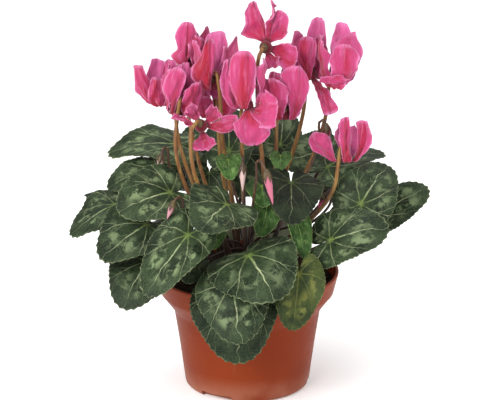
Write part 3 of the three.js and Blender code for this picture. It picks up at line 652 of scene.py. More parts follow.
def spunPiece(name, profile, steps):  # profile in (radius, height), spun about the Z axis
    clearSelection()
    radius, height = profile[0]
    bpy.ops.mesh.primitive_plane_add(size=1, location=(0, 0, 0))
    piece = named(name)
    bpy.ops.object.mode_set(mode="EDIT")
    bpy.ops.mesh.select_all(action="SELECT")
    bpy.ops.mesh.merge(type="CENTER")
    bpy.ops.transform.translate(value=(radius, 0, height))
    for (radius, height), (nextRadius, nextHeight) in zip(profile, profile[1:]):
        step = (nextRadius - radius, 0, nextHeight - height)
        bpy.ops.mesh.extrude_region_move(TRANSFORM_OT_translate={"value": step})
    bpy.ops.mesh.select_all(action="SELECT")
    bpy.ops.mesh.spin(steps=steps, angle=2 * math.pi, center=(0, 0, 0), axis=(0, 0, 1))
    bpy.ops.object.mode_set(mode="OBJECT")
    tidyMesh(piece)
    return piece


def copyOf(piece, name):
    twin = piece.copy()
    twin.data = piece.data.copy()
    twin.name = name
    twin.data.name = name
    bpy.context.collection.objects.link(twin)
    return twin


def thicken(piece, thickness, underside=0):
    choose(piece)
    shell = piece.modifiers.new("thickness", "SOLIDIFY")
    shell.thickness = thickness
    shell.offset = 0
    shell.material_offset = underside
    bpy.ops.object.modifier_apply(modifier=shell.name)


def joined(name, made):
    choose(*made)
    if len(made) > 1:
        bpy.ops.object.join()
    return named(name)


def smooth(piece, angle):
    choose(piece)
    bpy.ops.object.shade_smooth_by_angle(angle=math.radians(angle))


def give(piece, *finishes):
    piece.data.materials.clear()
    for finish in finishes:
        piece.data.materials.append(materials[finish])


def mark(piece, name, value):  # one value for the whole piece, read by its material
    data = piece.data.attributes.new(name, "FLOAT", "POINT")
    data.data.foreach_set("value", [value] * len(piece.data.vertices))


def placed(piece, name, nodes):
    piece.name = name
    piece.data.name = name
    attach(piece, "root")
    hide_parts(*nodes)


def drop(*templates):
    for piece in templates:
        bpy.data.objects.remove(piece)


def tubeThrough(name, points, radii, detail=3, resolution=4):  # points in millimetres
    line = bpy.data.curves.new(name, "CURVE")
    line.dimensions = "3D"
    line.bevel_depth = 1
    line.bevel_resolution = detail
    line.resolution_u = resolution
    line.use_fill_caps = True
    spline = line.splines.new("BEZIER")
    spline.bezier_points.add(len(points) - 1)
    for knot, place, radius in zip(spline.bezier_points, points, radii):
        knot.co = place * mm
        knot.radius = radius * mm
        knot.handle_left_type = "AUTO"
        knot.handle_right_type = "AUTO"
    piece = bpy.data.objects.new(name, line)
    bpy.context.collection.objects.link(piece)
    choose(piece)
    bpy.ops.object.convert(target="MESH")
    tidyMesh(piece)
    return piece


def cubic(corners, share):
    rest = 1 - share
    a, b, c, d = corners
    return a * rest ** 3 + b * 3 * rest * rest * share + c * 3 * rest * share * share + d * share ** 3


def cubicHeading(corners, share):
    rest = 1 - share
    a, b, c, d = corners
    return ((b - a) * rest * rest + (c - b) * 2 * rest * share + (d - c) * share * share).normalized()


stemBend = 0.36  # share of a stalk's span over which it keeps the direction of each end


def stemPoints(foot, normal, end, arrive, count, aside=Vector((0, 0, 0))):
    span = (end - foot).length * stemBend
    corners = (foot, foot + normal * span, end - aside - arrive * span, end)
    return [cubic(corners, number / count) for number in range(count + 1)]


# Pot: thin plastic, shoulder, plain collar and rolled rim, with drain notches in its foot

pot = {
    "outside": [
        (0, 0.6), (30, 0.6), (32, 0), (41.6, 0), (43.2, 0.4), (44.2, 1.4), (44.6, 3),
        (48.2, 31), (51.7, 54), (52.2, 56.4), (53.4, 58.4), (60.4, 68), (61.4, 69), (61.8, 70.4),
        (63.5, 77.4), (64.4, 81), (64.8, 82.6), (64.8, 83.4), (64.3, 84),
    ],
    "inside": [
        (63.3, 84), (62.7, 83.4), (62.4, 82), (61.6, 77), (59.8, 70.4), (50.2, 57), (43.1, 5.5), (0, 5.5),
    ],
    "notches": {"count": 3, "first": -120, "radius": 44.6, "depth": 12, "width": 24, "height": 4},
    "steps": 144,
}


def makePot():
    profile = [(radius * mm, height * mm) for radius, height in pot["outside"] + pot["inside"]]
    piece = spunPiece("potShell", profile, pot["steps"])
    notches = pot["notches"]
    for number in range(notches["count"]):
        turn = math.radians(notches["first"] + 360 * number / notches["count"])
        radius = notches["radius"] * mm
        clearSelection()
        bpy.ops.mesh.primitive_cube_add(
            size=1, location=(radius * math.cos(turn), radius * math.sin(turn), 0), rotation=(0, 0, turn),
            scale=(notches["depth"] * mm, notches["width"] * mm, 2 * notches["height"] * mm),
        )
        cutter = named("notch")
        choose(piece)
        cut = piece.modifiers.new("notch", "BOOLEAN")
        cut.operation = "DIFFERENCE"
        cut.solver = "EXACT"
        cut.object = cutter
        bpy.ops.object.modifier_apply(modifier=cut.name)
        drop(cutter)
    give(piece, "pot")
    smooth(piece, 32)
    placed(piece, "potShell", ["pot"])


# Peat, lumpy on top, with loose crumbs

soil = {
    "profile": [
        (0, 6), (41.9, 6), (49.1, 57), (58.6, 70.4), (60.2, 76.6), (58, 77.2), (55, 77.6), (52, 78),
        (49, 78.5), (46, 78.8), (43, 79.2), (40, 79.5), (37, 79.8), (34, 79.9), (31, 79.9), (28.6, 79.6),
        (27.6, 77), (23.5, 72.6), (12.5, 69.4), (0, 68.7),
    ],
    "steps": 120,
    "lumps": {"above": 76.8, "scale": 130, "height": 1.3, "most": 1.2},
    "crumbs": {
        "seed": 4,
        "count": 380,
        "ring": (29.5, 58),  # nearest and farthest from the pot's middle
        "sizes": (0.6, 1.6),
        "stretch": ((0.6, 1.5), (0.6, 1.2), (0.4, 0.8)),
        "uneven": (0.8, 1.2),
        "height": 80.2,
    },
    "slope": {"from": 36, "to": 60, "drop": 3},  # the crumbs follow the bed down to the pot's wall
}


def makeSoil():
    piece = spunPiece("peatBed", [(r * mm, z * mm) for r, z in soil["profile"]], soil["steps"])
    lumps = soil["lumps"]
    for vertex in piece.data.vertices:
        if vertex.co.z > lumps["above"] * mm:
            rise = noise.fractal(vertex.co * lumps["scale"], 1.0, 2.0, 4) * lumps["height"] * mm
            vertex.co.z += min(rise, lumps["most"] * mm)
    clearSelection()
    bpy.ops.mesh.primitive_ico_sphere_add(subdivisions=1, radius=mm)
    crumb = named("crumb")
    plan, slope = soil["crumbs"], soil["slope"]
    dice = random.Random(plan["seed"])
    nearest, farthest = plan["ring"]
    crumbs = []
    for number in range(plan["count"]):
        radius = math.sqrt(dice.uniform(nearest ** 2, farthest ** 2))
        turn = dice.uniform(0, 2 * math.pi)
        size = dice.uniform(*plan["sizes"])
        down = slope["drop"] * max(0, radius - slope["from"]) / (slope["to"] - slope["from"])
        height = plan["height"] - down
        one = copyOf(crumb, "crumb")
        spin = Quaternion((dice.random(), dice.random(), dice.random()), dice.uniform(0, 3))
        middle = Vector((radius * math.cos(turn), radius * math.sin(turn), height)) * mm
        stretch = [dice.uniform(*limits) for limits in plan["stretch"]]
        for vertex in one.data.vertices:
            shaped = Vector([c * s for c, s in zip(vertex.co, stretch)]) * size
            vertex.co = middle + spin @ (shaped * dice.uniform(*plan["uneven"]))
        crumbs.append(one)
    drop(crumb)
    piece = joined("peatBed", [piece] + crumbs)
    give(piece, "soil")
    smooth(piece, 50)
    placed(piece, "peatBed", ["soil"])


# Tuber: a flattened corky ball, half sunk in the peat

tuber = {
    "radius": 27,
    "halfHeight": 10,
    "middle": 79,
    "lumps": {"scale": 3.2, "height": 0.9},
    "across": {"inset": 0.7, "most": 0.6},  # how far the skin stays in, and the most a lump adds
    "upright": {"inset": 0.5, "most": 0.5},
    "gap": 0.35,
}


def makeTuber():
    clearSelection()
    bpy.ops.mesh.primitive_uv_sphere_add(segments=72, ring_count=36, radius=1)
    piece = named("corkyTuber")
    lumps, across, upright = tuber["lumps"], tuber["across"], tuber["upright"]
    for vertex in piece.data.vertices:
        direction = vertex.co.normalized()
        bulge = noise.fractal(direction * lumps["scale"], 1.0, 2.0, 5) * lumps["height"]
        wide = (tuber["radius"] - across["inset"] + min(bulge, across["most"])) * mm
        tall = (tuber["halfHeight"] - upright["inset"] + min(bulge, upright["most"])) * mm
        height = direction.z * tall + tuber["middle"] * mm
        vertex.co = Vector((direction.x * wide, direction.y * wide, height))
    give(piece, "tuber")
    smooth(piece, 60)
    placed(piece, "corkyTuber", ["tuber"])


def footOnTuber(x, y):
    wide, tall = tuber["radius"], tuber["halfHeight"]
    rise = math.sqrt(1 - (x * x + y * y) / wide ** 2)
    normal = Vector((x / wide ** 2, y / wide ** 2, rise / tall)).normalized()
    return Vector((x, y, tuber["middle"] + tall * rise)) + normal * tuber["gap"], normal


def footAt(azimuth, radius):
    turn = math.radians(azimuth)
    return footOnTuber(radius * math.cos(turn), radius * math.sin(turn))


# Leaves. Each row: foot [azimuth, radius] on the tuber, base and tip of the blade, the way its face
# looks, shape [breadth, arch, fold, wave, phase], look [silver, bright], and for some their own notch
# and finish. The young leaves in the middle share one foot.

leaf = {
    "sectors": 96,
    "rings": 9,
    "sinus": 0.14,  # half the angle left out of the blade at its stalk
    "notch": 0.3,  # half the opening of the notch, in radians, for rows that name none
    "notchFloor": 0.14,  # how far the edge stays from the stalk in the notch
    "half": 0.56,  # reach of the edge to the sides, as a share of the blade's length
    "forward": 0.14,
    "back": 0.12,
    "tip": 0.3,
    "tipSharpness": 8,
    "tooth": 0.014,
    "fold": 0.08,  # softness of the fold along the midrib
    "waves": 4,
    "frill": 0.012,  # fine waves of the edge, a share of the blade's length
    "frills": 13,
    "thickness": 0.55,
    "stalkRadius": 1.3,
    "youngStalkRadius": 0.95,
    "stalkTaper": 0.3,
    "stalkInset": 2.4,
    "stalkSteps": 7,
}

leafColumns = ("foot", "base", "tip", "face", "shape", "look", "notch", "finish")
leaves = [dict(zip(leafColumns, row)) for row in (
    ((-97, 24.5), (-9, -67, 89), (-5, -82, 45), (0, -9, 3), (1.13, 0.1, -0.1, 0.03, 0), (0.25, 0.8), 0.45),
    ((-108, 20), (-10, -71, 98), (-4, -89, 62), (0, -9, 4), (1.1, 0.06, -0.1, 0.04, 1), (0.9, 1), 0.45),
    ((-72, 22), (1, -60, 115), (20, -93, 93), (0, -7, 7), (1.25, 0.08, -0.1, 0.06, 2), (0.5, 1.1), 0.6),
    (
        (-60, 24.5), (35, -66, 104), (30, -79, 68), (1, -9, 4), (0.82, 0.08, 0.1, 0.04, 3),
        (0.9, 1), 0.3, "olive",
    ),
    ((-122, 24.5), (-40, -62, 130), (-67, -94, 99), (-1, -8, 6), (0.68, 0.06, 0.1, 0.05, 4), (1, 1.1)),
    ((-144, 24.5), (-68, -48, 106), (-84, -73, 82), (-2, -8, 5), (1.1, 0.08, -0.1, 0.05, 5), (0.6, 0.9)),
    ((-152, 20), (-69, -36, 129), (-98, -60, 111), (-2, -7, 7), (1.05, 0.08, 0.1, 0.05, 0), (0.8, 1)),
    ((-172, 24.5), (-92, -11, 135), (-121, -27, 116), (-3, -5, 8), (0.8, 0.1, 0.1, 0.06, 1), (0.8, 1)),
    ((170, 24.5), (-88, 30, 132), (-116, 28, 127), (0, 2, 9), (0.9, 0.1, -0.2, 0.1, 2), (0.7, 0.9)),
    ((-168, 22), (-53, -24, 148), (-88, -42, 140), (-1, -7, 7), (1.05, 0.1, 0.15, 0.05, 3), (1, 1.1)),
    ((178, 20), (-63, 13, 152), (-99, 10, 141), (-1, -4, 9), (0.8, 0.1, 0.1, 0.05, 4), (0.8, 1)),
    ((146, 20), (-50, 37, 165), (-99, 29, 162), (0, -4, 9), (0.7, 0.08, -0.05, 0.06, 5), (0.9, 1.1)),
    ((-124, 20), (-14, -50, 148), (-31.5, -77, 137), (1, -6, 8), (1.27, 0.08, 0.15, 0.05, 0), (0.8, 1)),
    ((-48, 20), (30, -36, 159), (28, -63, 137), (2, -7, 7), (1.05, 0.1, 0.2, 0.05, 2), (0.1, 0.45), 0.16),
    ((48, 20), (57, 44, 157.5), (24, 34, 151.5), (0, -7, 7), (0.9, 0.08, 0.1, 0.05, 3), (0.9, 1)),
    ((8, 20), (57, 12, 156), (97, 18, 165), (0, -3, 9), (0.8, 0.1, -0.15, 0.07, 4), (0.8, 1)),
    ((-22, 20), (78, -30, 142), (98, -5, 163), (-2, -9, 5), (1, 0.08, -0.1, 0.04, 5), (0.8, 0.9)),
    ((-38, 24.5), (57, -46, 121), (96, -55, 133), (0, -7, 7), (0.9, 0.08, 0.1, 0.05, 0), (0.9, 1), 0.2),
    ((-4, 24.5), (92, 0, 124), (128, 5, 141), (1, -6, 7), (0.75, 0.1, 0.1, 0.05, 1), (0.9, 1)),
    ((126, 20), (-41, 60, 142), (-40, 72, 169), (-5, -8, 4), (0.9, 0.08, 0.1, 0.05, 2), (0.8, 0.9)),
    ((112, 20), (-13, 30, 162), (-13, 64, 183), (0, -6, 8), (0.75, 0.1, 0.1, 0.05, 3), (0.8, 0.9)),
    ((62, 20), (24, 47, 162), (27, 73, 180), (0, -6, 8), (0.84, 0.1, 0.1, 0.05, 4), (0.8, 0.9)),
    ((42, 24.5), (63, 53, 132), (89, 81, 112), (4, 4, 8), (1.05, 0.1, 0.1, 0.05, 5), (0.8, 1)),
    ((66, 24.5), (22, 64, 127), (30, 102, 104), (0, 4, 9), (1, 0.1, 0.1, 0.05, 0), (0.9, 1)),
    ((106, 24.5), (0, 50, 154), (-5, 32, 126), (0, -7, 6), (1.1, 0.04, 0.1, 0.05, 1), (0.7, 1)),
    ((128, 24.5), (-56, 52, 126), (-80, 80, 104), (-4, 4, 8), (0.95, 0.1, 0.1, 0.05, 2), (0.9, 1)),
    ((86, 24.5), (6, 70, 98), (10, 88, 58), (0, 9, 4), (1.1, 0.1, -0.1, 0.05, 3), (0.8, 0.9)),
    ((150, 24.5), (-74, 28, 104), (-98, 44, 78), (-7, 4, 5), (1.1, 0.1, 0.1, 0.05, 4), (0.8, 1)),
    ((20, 24.5), (68, 27, 139), (48, 17, 133), (0, -4, 9), (0.95, 0.1, 0.1, 0.05, 5), (0.8, 0.9)),
)]

youngColumns = ("base", "tip", "face", "shape", "look", "finish")
youngLeaves = [dict(zip(youngColumns, row)) for row in (
    ((14, -28, 141), (9, -42, 122), (2, -8, 5), (0.8, 0.1, 0.4, 0.05, 0), (0.4, 1), "young"),
    ((34, -30, 129), (39, -48, 108), (3, -8, 5), (0.55, 0.1, 0.5, 0.05, 1), (0.6, 1), "young"),
    ((-38, -45, 106), (-40, -60, 94), (0, -9, 4), (1.1, 0.1, 0.2, 0.05, 2), (0.3, 0.8), "green"),
    ((-20, -40, 124), (-23, -50, 116), (0, -8, 6), (0.8, 0.1, 0.2, 0.05, 3), (0.4, 0.9), "young"),
    ((-27, 26, 147), (-28, 17, 129), (0, -7, 6), (1.3, 0.06, 0.1, 0.05, 4), (0.4, 0.8), "green"),
    ((10, -25, 153), (12, -37, 142), (0, -6, 8), (1.2, 0.1, 0.2, 0.05, 5), (0.4, 1.1), "young"),
    ((23, -15, 172), (23, -24, 164), (0, -6, 7), (1.1, 0.1, 0.2, 0.05, 0), (0.4, 1), "young"),
    ((-13, -22, 171), (-11, -35, 160), (0, -6, 8), (0.9, 0.1, 0.4, 0.05, 1), (0.6, 1.2), "young"),
)]


def heart(turn, notchWidth):
    forward = math.cos(turn)
    if forward > 0:
        body = leaf["half"] + (leaf["forward"] * forward + leaf["tip"] * forward ** leaf["tipSharpness"])
    else:
        body = leaf["half"] + leaf["back"] * forward
    notch = 1 - math.exp(-(((math.pi - abs(turn)) / notchWidth) ** 2))
    return body * (leaf["notchFloor"] + (1 - leaf["notchFloor"]) * notch)


def makeFlatBlade():  # a flat heart of unit length, its stalk at the origin and its tip along X
    piece = gridSheet("flatBlade", leaf["sectors"], leaf["rings"])
    mesh = piece.data
    turns = mesh.attributes.new("turn", "FLOAT", "POINT")
    reaches = mesh.attributes.new("reach", "FLOAT", "POINT")
    for vertex in mesh.vertices:
        column = round((vertex.co.x + 1) / 2 * leaf["sectors"])
        turn = (math.pi - leaf["sinus"]) * vertex.co.x
        reach = (vertex.co.y + 1) / 2
        edge = heart(turn, leaf["notch"])
        if reach > 0.999 and 0 < column < leaf["sectors"]:
            edge *= 1 + (leaf["tooth"] if column % 2 else -leaf["tooth"])
        turns.data[vertex.index].value = turn
        reaches.data[vertex.index].value = reach
        vertex.co = (edge * reach * math.cos(turn), edge * reach * math.sin(turn), 0)
    flat = mesh.uv_layers.active
    for loop in mesh.loops:
        flat.data[loop.index].uv = mesh.vertices[loop.vertex_index].co.xy
    tidyMesh(piece, outward=False)
    bpy.ops.object.mode_set(mode="EDIT")
    bpy.ops.mesh.select_all(action="SELECT")
    bpy.ops.mesh.flip_normals()
    bpy.ops.object.mode_set(mode="OBJECT")
    return piece


def bladeFrame(row):
    base, tip, face = Vector(row["base"]), Vector(row["tip"]), Vector(row["face"])
    along = tip - base
    length = along.length
    along.normalize()
    face = (face - along * face.dot(along)).normalized()
    return base, length, along, face.cross(along), face


def makeBlade(flatBlade, row, seed):
    piece = copyOf(flatBlade, "blade")
    base, length, along, across, face = bladeFrame(row)
    breadth, arch, fold, wave, phase = row["shape"]
    mesh = piece.data
    turns = [item.value for item in mesh.attributes["turn"].data]
    reaches = [item.value for item in mesh.attributes["reach"].data]
    notch = row.get("notch", leaf["notch"])
    for vertex, turn, reach in zip(mesh.vertices, turns, reaches):
        share = heart(turn, notch) / heart(turn, leaf["notch"])
        s, t = vertex.co.x * share, vertex.co.y * share * breadth
        bow = 4 * s * (1 - s) if s > 0 else 4 * s
        lift = arch * bow + fold * (math.hypot(t, leaf["fold"]) - leaf["fold"])
        lift += wave * reach ** 2 * math.sin(leaf["waves"] * turn + phase)
        lift += leaf["frill"] * reach ** 4 * math.sin(leaf["frills"] * turn + 3 * phase + seed)
        vertex.co = (base + (along * s + across * t + face * lift) * length) * mm
    silver, bright = row["look"]
    mark(piece, "silver", silver)
    mark(piece, "bright", bright)
    mark(piece, "seed", seed)
    give(piece, row.get("finish", "green"), "underside", "leafStalk")
    thicken(piece, leaf["thickness"] * mm, underside=1)
    return piece


def makeLeafStalk(row, foot, normal, radius):
    base, length, along, across, face = bladeFrame(row)
    count = leaf["stalkSteps"]
    arrive = (face + along * 0.3).normalized()
    points = stemPoints(foot, normal, base + along * leaf["stalkInset"], arrive, count)
    radii = [radius * (1.1 - leaf["stalkTaper"] * (number / count)) for number in range(count + 1)]
    piece = tubeThrough("stalk", points, radii)
    give(piece, "leafStalk")
    return piece


def makeLeaves():
    flatBlade = makeFlatBlade()
    for number, row in enumerate(leaves):
        label = f"{number + 1:02d}"
        blade = makeBlade(flatBlade, row, number * 1.7)
        foot, normal = footAt(*row["foot"])
        stalk = makeLeafStalk(row, foot, normal, leaf["stalkRadius"])
        piece = joined("leafBlade_" + label, [blade, stalk])
        smooth(piece, 60)
        placed(piece, "leafBlade_" + label, ["leaf_" + label])
    print("leaves made")
    foot, normal = crownFoot(*crown["young"])
    made = [makeCrown(foot, normal, crown["youngSize"])]
    give(made[0], "leafStalk")
    for number, row in enumerate(youngLeaves):
        made.append(makeBlade(flatBlade, row, 60 + number * 1.3))
        made.append(makeLeafStalk(row, foot, normal, leaf["youngStalkRadius"]))
    piece = joined("youngLeafTuft", made)
    smooth(piece, 60)
    placed(piece, "youngLeafTuft", ["young_leaves"])
    drop(flatBlade)
    print("young leaves made")


# Crowns: low scaly domes on the tuber that clusters of stalks grow from

crown = {
    "profile": [(0, -0.6), (1, -0.5), (1, 0.1), (0.9, 0.45), (0.6, 0.8), (0.25, 0.95), (0, 1)],
    "steps": 20,
    "sunk": 0.8,  # how deep in the crown its stalks start
    "young": (0, 1),
    "youngSize": 2.8,
    "budSize": 2.2,
}


def crownFoot(x, y):
    foot, normal = footOnTuber(x, y)
    return foot + normal * crown["sunk"], normal


def makeCrown(foot, normal, size):
    profile = [(r * size * mm, h * size * mm) for r, h in crown["profile"]]
    piece = spunPiece("crown", profile, crown["steps"])
    turn = upward.rotation_difference(normal)
    for vertex in piece.data.vertices:
        vertex.co = turn @ vertex.co + (foot - normal * crown["sunk"]) * mm
    return piece


# Blooms. Each row: foot on the tuber, middle of the mouth, the axis from mouth to calyx, azimuth of the
# gap that the stalk passes, and its petals.

bloom = {
    "columns": 16,
    "rows": 28,
    "thickness": 0.35,
    "mouth": 4.3,  # radius of the flower's mouth
    "inset": 0.6,  # how far in from there, and up into the tube, the petals start
    "flare": 4,  # how far they are pulled out and down before they turn up
    "belly": 6,
    "tip": 0.05,  # how much further the middle of the tip reaches, as a share of the length
    "tipStart": 0.72,
    "broader": 1.06,
    "uneven": 0.16,  # how much the width of a plain petal wavers
    "slant": 0.09,  # how far one side of the tip reaches past its middle, at most
    "roll": 0.34,  # roll, ruffle, crease and cup are heights, as a share of the half width
    "ruffle": 0.24,
    "ruffles": 13,  # radians of ruffle along a petal
    "crease": 0.22,
    "cup": 0.12,
    "crinkle": 2.6,  # height of the soft folds
    "nicks": 0.12,
    "outlinedRoll": 0.4,  # a petal that follows an outline rolls less, so that the outline stays
    "paintedBacklight": 0.8,  # painted light that brightens the shaded petals on the far side
    "tube": [
        (0, 2.6), (2.6, 1.6), (3.3, 0.3), (3.9, -0.1), (4.4, 0.3), (4.5, 1.4), (4.1, 3.6), (2.8, 5.4),
        (0, 6.4),
    ],
}
# Angles are in degrees and lengths in millimetres. The shape is the width of a plain petal or the name
# of an outline, and sweep leans a petal sideways.
petalColumns = ("azimuth", "lean", "length", "shape", "twist", "sweep")

# How much redder than the rest the petals of an outline are
petalRedness = {
    "cornered": 0.25, "shield": 0.05, "pointed": 0.5, "peaked": 0.05, "kite": 0.25, "strap": 0.1,
    "notched": -0.2, "apron": -0.35, "skirt": -0.15, "fan": -0.25, "flag": -0.15, "plate": -0.2,
    "spoon": -0.2, "drop": -0.3,
}

# Outlines of the petals that stand out: share of the length, then the half widths on the two sides
petalOutlines = {
    "notched": [
        (0, 1.4, 1), (0.3, 2, 1.4), (0.5, 2.4, 2.4), (0.6, 5.2, 3.4), (0.7, 8.4, 4.6),
        (0.83, 7.8, 5.8), (0.95, 6.2, 5.8), (1, 4, 4),
    ],
    "waved": [
        (0, 1.5, 1.2), (0.3, 4.5, 0.8), (0.44, 9, 1), (0.53, 10.2, 2), (0.64, 6.2, 4.5),
        (0.74, 7.4, 5.2), (0.84, 7.8, 6.6), (0.93, 6.6, 6.4), (1, 4.2, 4.4),
    ],
    "cornered": [
        (0, 1.6, 1), (0.33, 4.6, 1.6), (0.44, 8.6, 2), (0.56, 12, 3), (0.64, 11.4, 3.8),
        (0.72, 7.8, 4.4), (0.85, 4.6, 4.8), (0.95, 3.4, 4.4), (1, 2, 3.2),
    ],
    "sail": [
        (0, 1.5, 1.5), (0.3, 3.4, 3), (0.49, 7, 6), (0.6, 9.4, 7.4), (0.7, 10.6, 8.2),
        (0.8, 10.6, 8.2), (0.88, 10, 7.6), (0.96, 8.2, 6), (1, 6, 4.2),
    ],
    "apron": [
        (0, 2, 2), (0.2, 4, 5.5), (0.4, 8, 10), (0.6, 11.5, 13), (0.78, 13.5, 13), (0.93, 12, 9),
        (1, 8, 6),
    ],
    "skirt": [
        (0, 2, 2), (0.3, 6, 8), (0.47, 11, 10.5), (0.65, 11, 13), (0.8, 9.4, 12), (0.93, 7, 8.5),
        (1, 4, 4.5),
    ],
    "kite": [
        (0, 1.5, 1.5), (0.2, 3, 6.5), (0.43, 3.4, 15), (0.56, 3.4, 11), (0.7, 3.2, 8), (0.84, 3, 8),
        (1, 2.4, 3.5),
    ],
    "flag": [
        (0, 1.4, 1.2), (0.18, 3.7, 1.6), (0.38, 8.4, 2.4), (0.73, 8.5, 4), (0.9, 6.5, 5), (1, 4, 4),
    ],
    "shield": [
        (0, 2, 2), (0.3, 5, 5), (0.43, 6.7, 7.5), (0.68, 5.6, 11.5), (0.85, 5.8, 12), (0.94, 6, 10),
        (1, 5, 7),
    ],
    "fan": [
        (0, 1.5, 1.5), (0.33, 2.6, 3.4), (0.55, 5, 5.8), (0.64, 6.6, 6.8), (0.72, 8.4, 7.8),
        (0.79, 10, 8.2), (0.87, 12, 7), (0.95, 11.6, 4.6), (1, 8, 2.4),
    ],
    "peaked": [
        (0, 1.8, 1.8), (0.44, 2, 4), (0.6, 4.6, 5.6), (0.77, 8.6, 6.6), (0.86, 9.4, 6.8),
        (0.95, 7.4, 6.2), (1, 4.8, 4.4),
    ],
    "pointed": [
        (0, 2, 2), (0.4, 3.6, 3.6), (0.62, 6, 5.8), (0.78, 5.8, 5.4), (0.9, 2.8, 3.4),
        (1, 0.8, 1.2),
    ],
    "drop": [
        (0, 1.4, 1.4), (0.2, 3, 3), (0.4, 6, 5.8), (0.6, 8.2, 8), (0.8, 8.4, 8.4), (0.93, 6.8, 7.2),
        (1, 4.4, 4.6),
    ],
    "strap": [(0, 2, 2), (0.3, 4.2, 4.6), (0.7, 5.4, 5.8), (1, 5, 5.2)],
    "plate": [
        (0, 3, 3), (0.3, 6.6, 5), (0.45, 7.6, 8.6), (0.65, 7.8, 11), (0.8, 7.8, 11.4),
        (0.92, 7, 9.6), (1, 4.5, 5),
    ],
    "spoon": [
        (0, 1.4, 1.4), (0.3, 2.2, 2.2), (0.5, 4, 5), (0.7, 6.4, 7.6), (0.85, 6.6, 7.6),
        (0.95, 5, 6), (1, 3, 4),
    ],
    "blunt": [
        (0, 1.4, 1.4), (0.4, 3, 1.6), (0.6, 6.4, 2.2), (0.75, 8, 2.6), (0.9, 7, 4), (1, 5, 4.4),
    ],
}

flowers = [
    {
        "foot": (-162, 17), "mouth": (-48, -12, 201), "axis": (1.5, 0, 10), "gap": -86,
        "petals": [
            (-118, 12, 33, "notched", 28), (-24, 24, 26, 13, -36), (56, 14, 31, 15, 20),
            (110, 12, 33, 16, 20), (190, 14, 30, 15, 20),
        ],
    },
    {
        "foot": (180, 15), "mouth": (-59, 10, 202), "axis": (0, 0, 10), "gap": 3,
        "petals": [
            (180, 33, 32, 12, 70), (105, 20, 30, 19, 0), (-104, 22, 21, 15, 14),
            (48, 14, 30, 12, 40), (-44, 15, 28, 13, 20),
        ],
    },
    {
        "foot": (150, 16), "mouth": (-40, 15, 227), "axis": (0, 0, 10), "gap": 115,
        "petals": [
            (-106, 8, 32, "waved", 14), (14, 25, 30, "pointed", 60), (-44, 20, 24, 13, -40),
            (66, 8, 26, 14, 20), (162, 6, 26, 14, 20),
        ],
    },
    {
        "foot": (125, 8.5), "mouth": (-24, -5, 217), "axis": (0, 0, 10), "gap": -52,
        "petals": [
            (-110, 8, 35, "cornered", 19), (-12, 18, 30, 12, 20), (75, 22, 38, 17, 20),
            (35, 32, 38, "pointed", 50), (168, 20, 33, 15, 20),
        ],
    },
    {
        "foot": (122, 13), "mouth": (-23, 15, 192), "axis": (0, 0, 10), "gap": -70,
        "petals": [
            (-20, 26, 26, 15, -60), (60, 15, 30, 15, 20), (130, 15, 30, 15, 20),
            (200, 15, 28, 14, 20), (-120, 40, 22, 13, 20),
        ],
    },
    {
        "foot": (-95, 11), "mouth": (0, -25, 209), "axis": (0, 0, 10), "gap": 115,
        "petals": [
            (-110, 5, 38.5, "sail", 20), (165, 20, 34, 16, -65), (8, 18, 32, 10, -30),
            (-40, 80, 26, "apron", 78), (-80, 158, 25, "skirt", 0, -0.05),
        ],
    },
    {
        "foot": (-133, 14), "mouth": (-31, -30, 197), "axis": (-2, -8, 6), "gap": -118,
        "petals": [
            (-80, 75, 20, "drop", 0), (2, 90, 24, 11, 20), (40, 60, 17, 11, 20),
            (120, 50, 17, 9, 20), (160, 75, 20, 8, 40),
        ],
    },
    {
        "foot": (-41, 14.5), "mouth": (13, 0, 245), "axis": (-2, -9, 2), "gap": -108,
        "petals": [
            (106, 85, 31, "kite", 0), (78, 80, 31, 9, 70), (62, 80, 27, "flag", 0),
            (-20, 90, 22, 18, 0), (-70, 80, 15, 13, 0),
        ],
    },
    {
        "foot": (30, 13.5), "mouth": (26, -5, 196), "axis": (0, 0, 10), "gap": 128,
        "petals": [
            (-138, 28, 33, "shield", 40), (-43, 18, 39, "fan", -45), (71, 12, 37, 16, 0),
            (20, 20, 34, 16, 20), (190, 15, 33, 16, 20),
        ],
    },
    {
        "foot": (54, 15), "mouth": (44, 15, 219), "axis": (0, 0, 10), "gap": 108,
        "petals": [
            (172, 15, 33, 14, -40), (-115, 10, 30, "peaked", 25), (55, 15, 41, 14, 20),
            (-56, 130, 30, "strap", 0), (18, 12, 30, 12, 30),
        ],
    },
    {
        "foot": (2, 14), "mouth": (62, 4, 218), "axis": (0, 0, 10), "gap": 127,
        "petals": [
            (80, 14, 40, 13, 30), (25, 17, 35, 17, 20), (-72, 20, 31, "plate", -14),
            (-112, 58, 15, 20, 10), (175, 20, 32, 14, 20),
        ],
    },
    {
        "foot": (-33, 18), "mouth": (68, -15, 169), "axis": (0, 0, 10), "gap": -131,
        "petals": [
            (186, 50, 29, "spoon", 80), (-86, 5, 30, 12, 30), (-5, 22, 29, "blunt", 80),
            (60, 15, 22, 10, 20), (120, 12, 26, 12, 20),
        ],
    },
]


def petalWidth(share):  # half width of a plain petal along its length, about 1 where it is broadest
    return 0.24 + 0.76 * math.sin(math.pi * (0.73 * share) ** 1.25) ** 1.2 - 0.2 * share ** 6


def flowerFrame(row):
    axis = Vector(row["axis"]).normalized()
    right = (Vector((1, 0, 0)) - axis * axis.x).normalized()
    return axis, right, axis.cross(right)


def spoke(frameOfFlower, azimuth):
    axis, right, back = frameOfFlower
    return right * math.cos(math.radians(azimuth)) + back * math.sin(math.radians(azimuth))


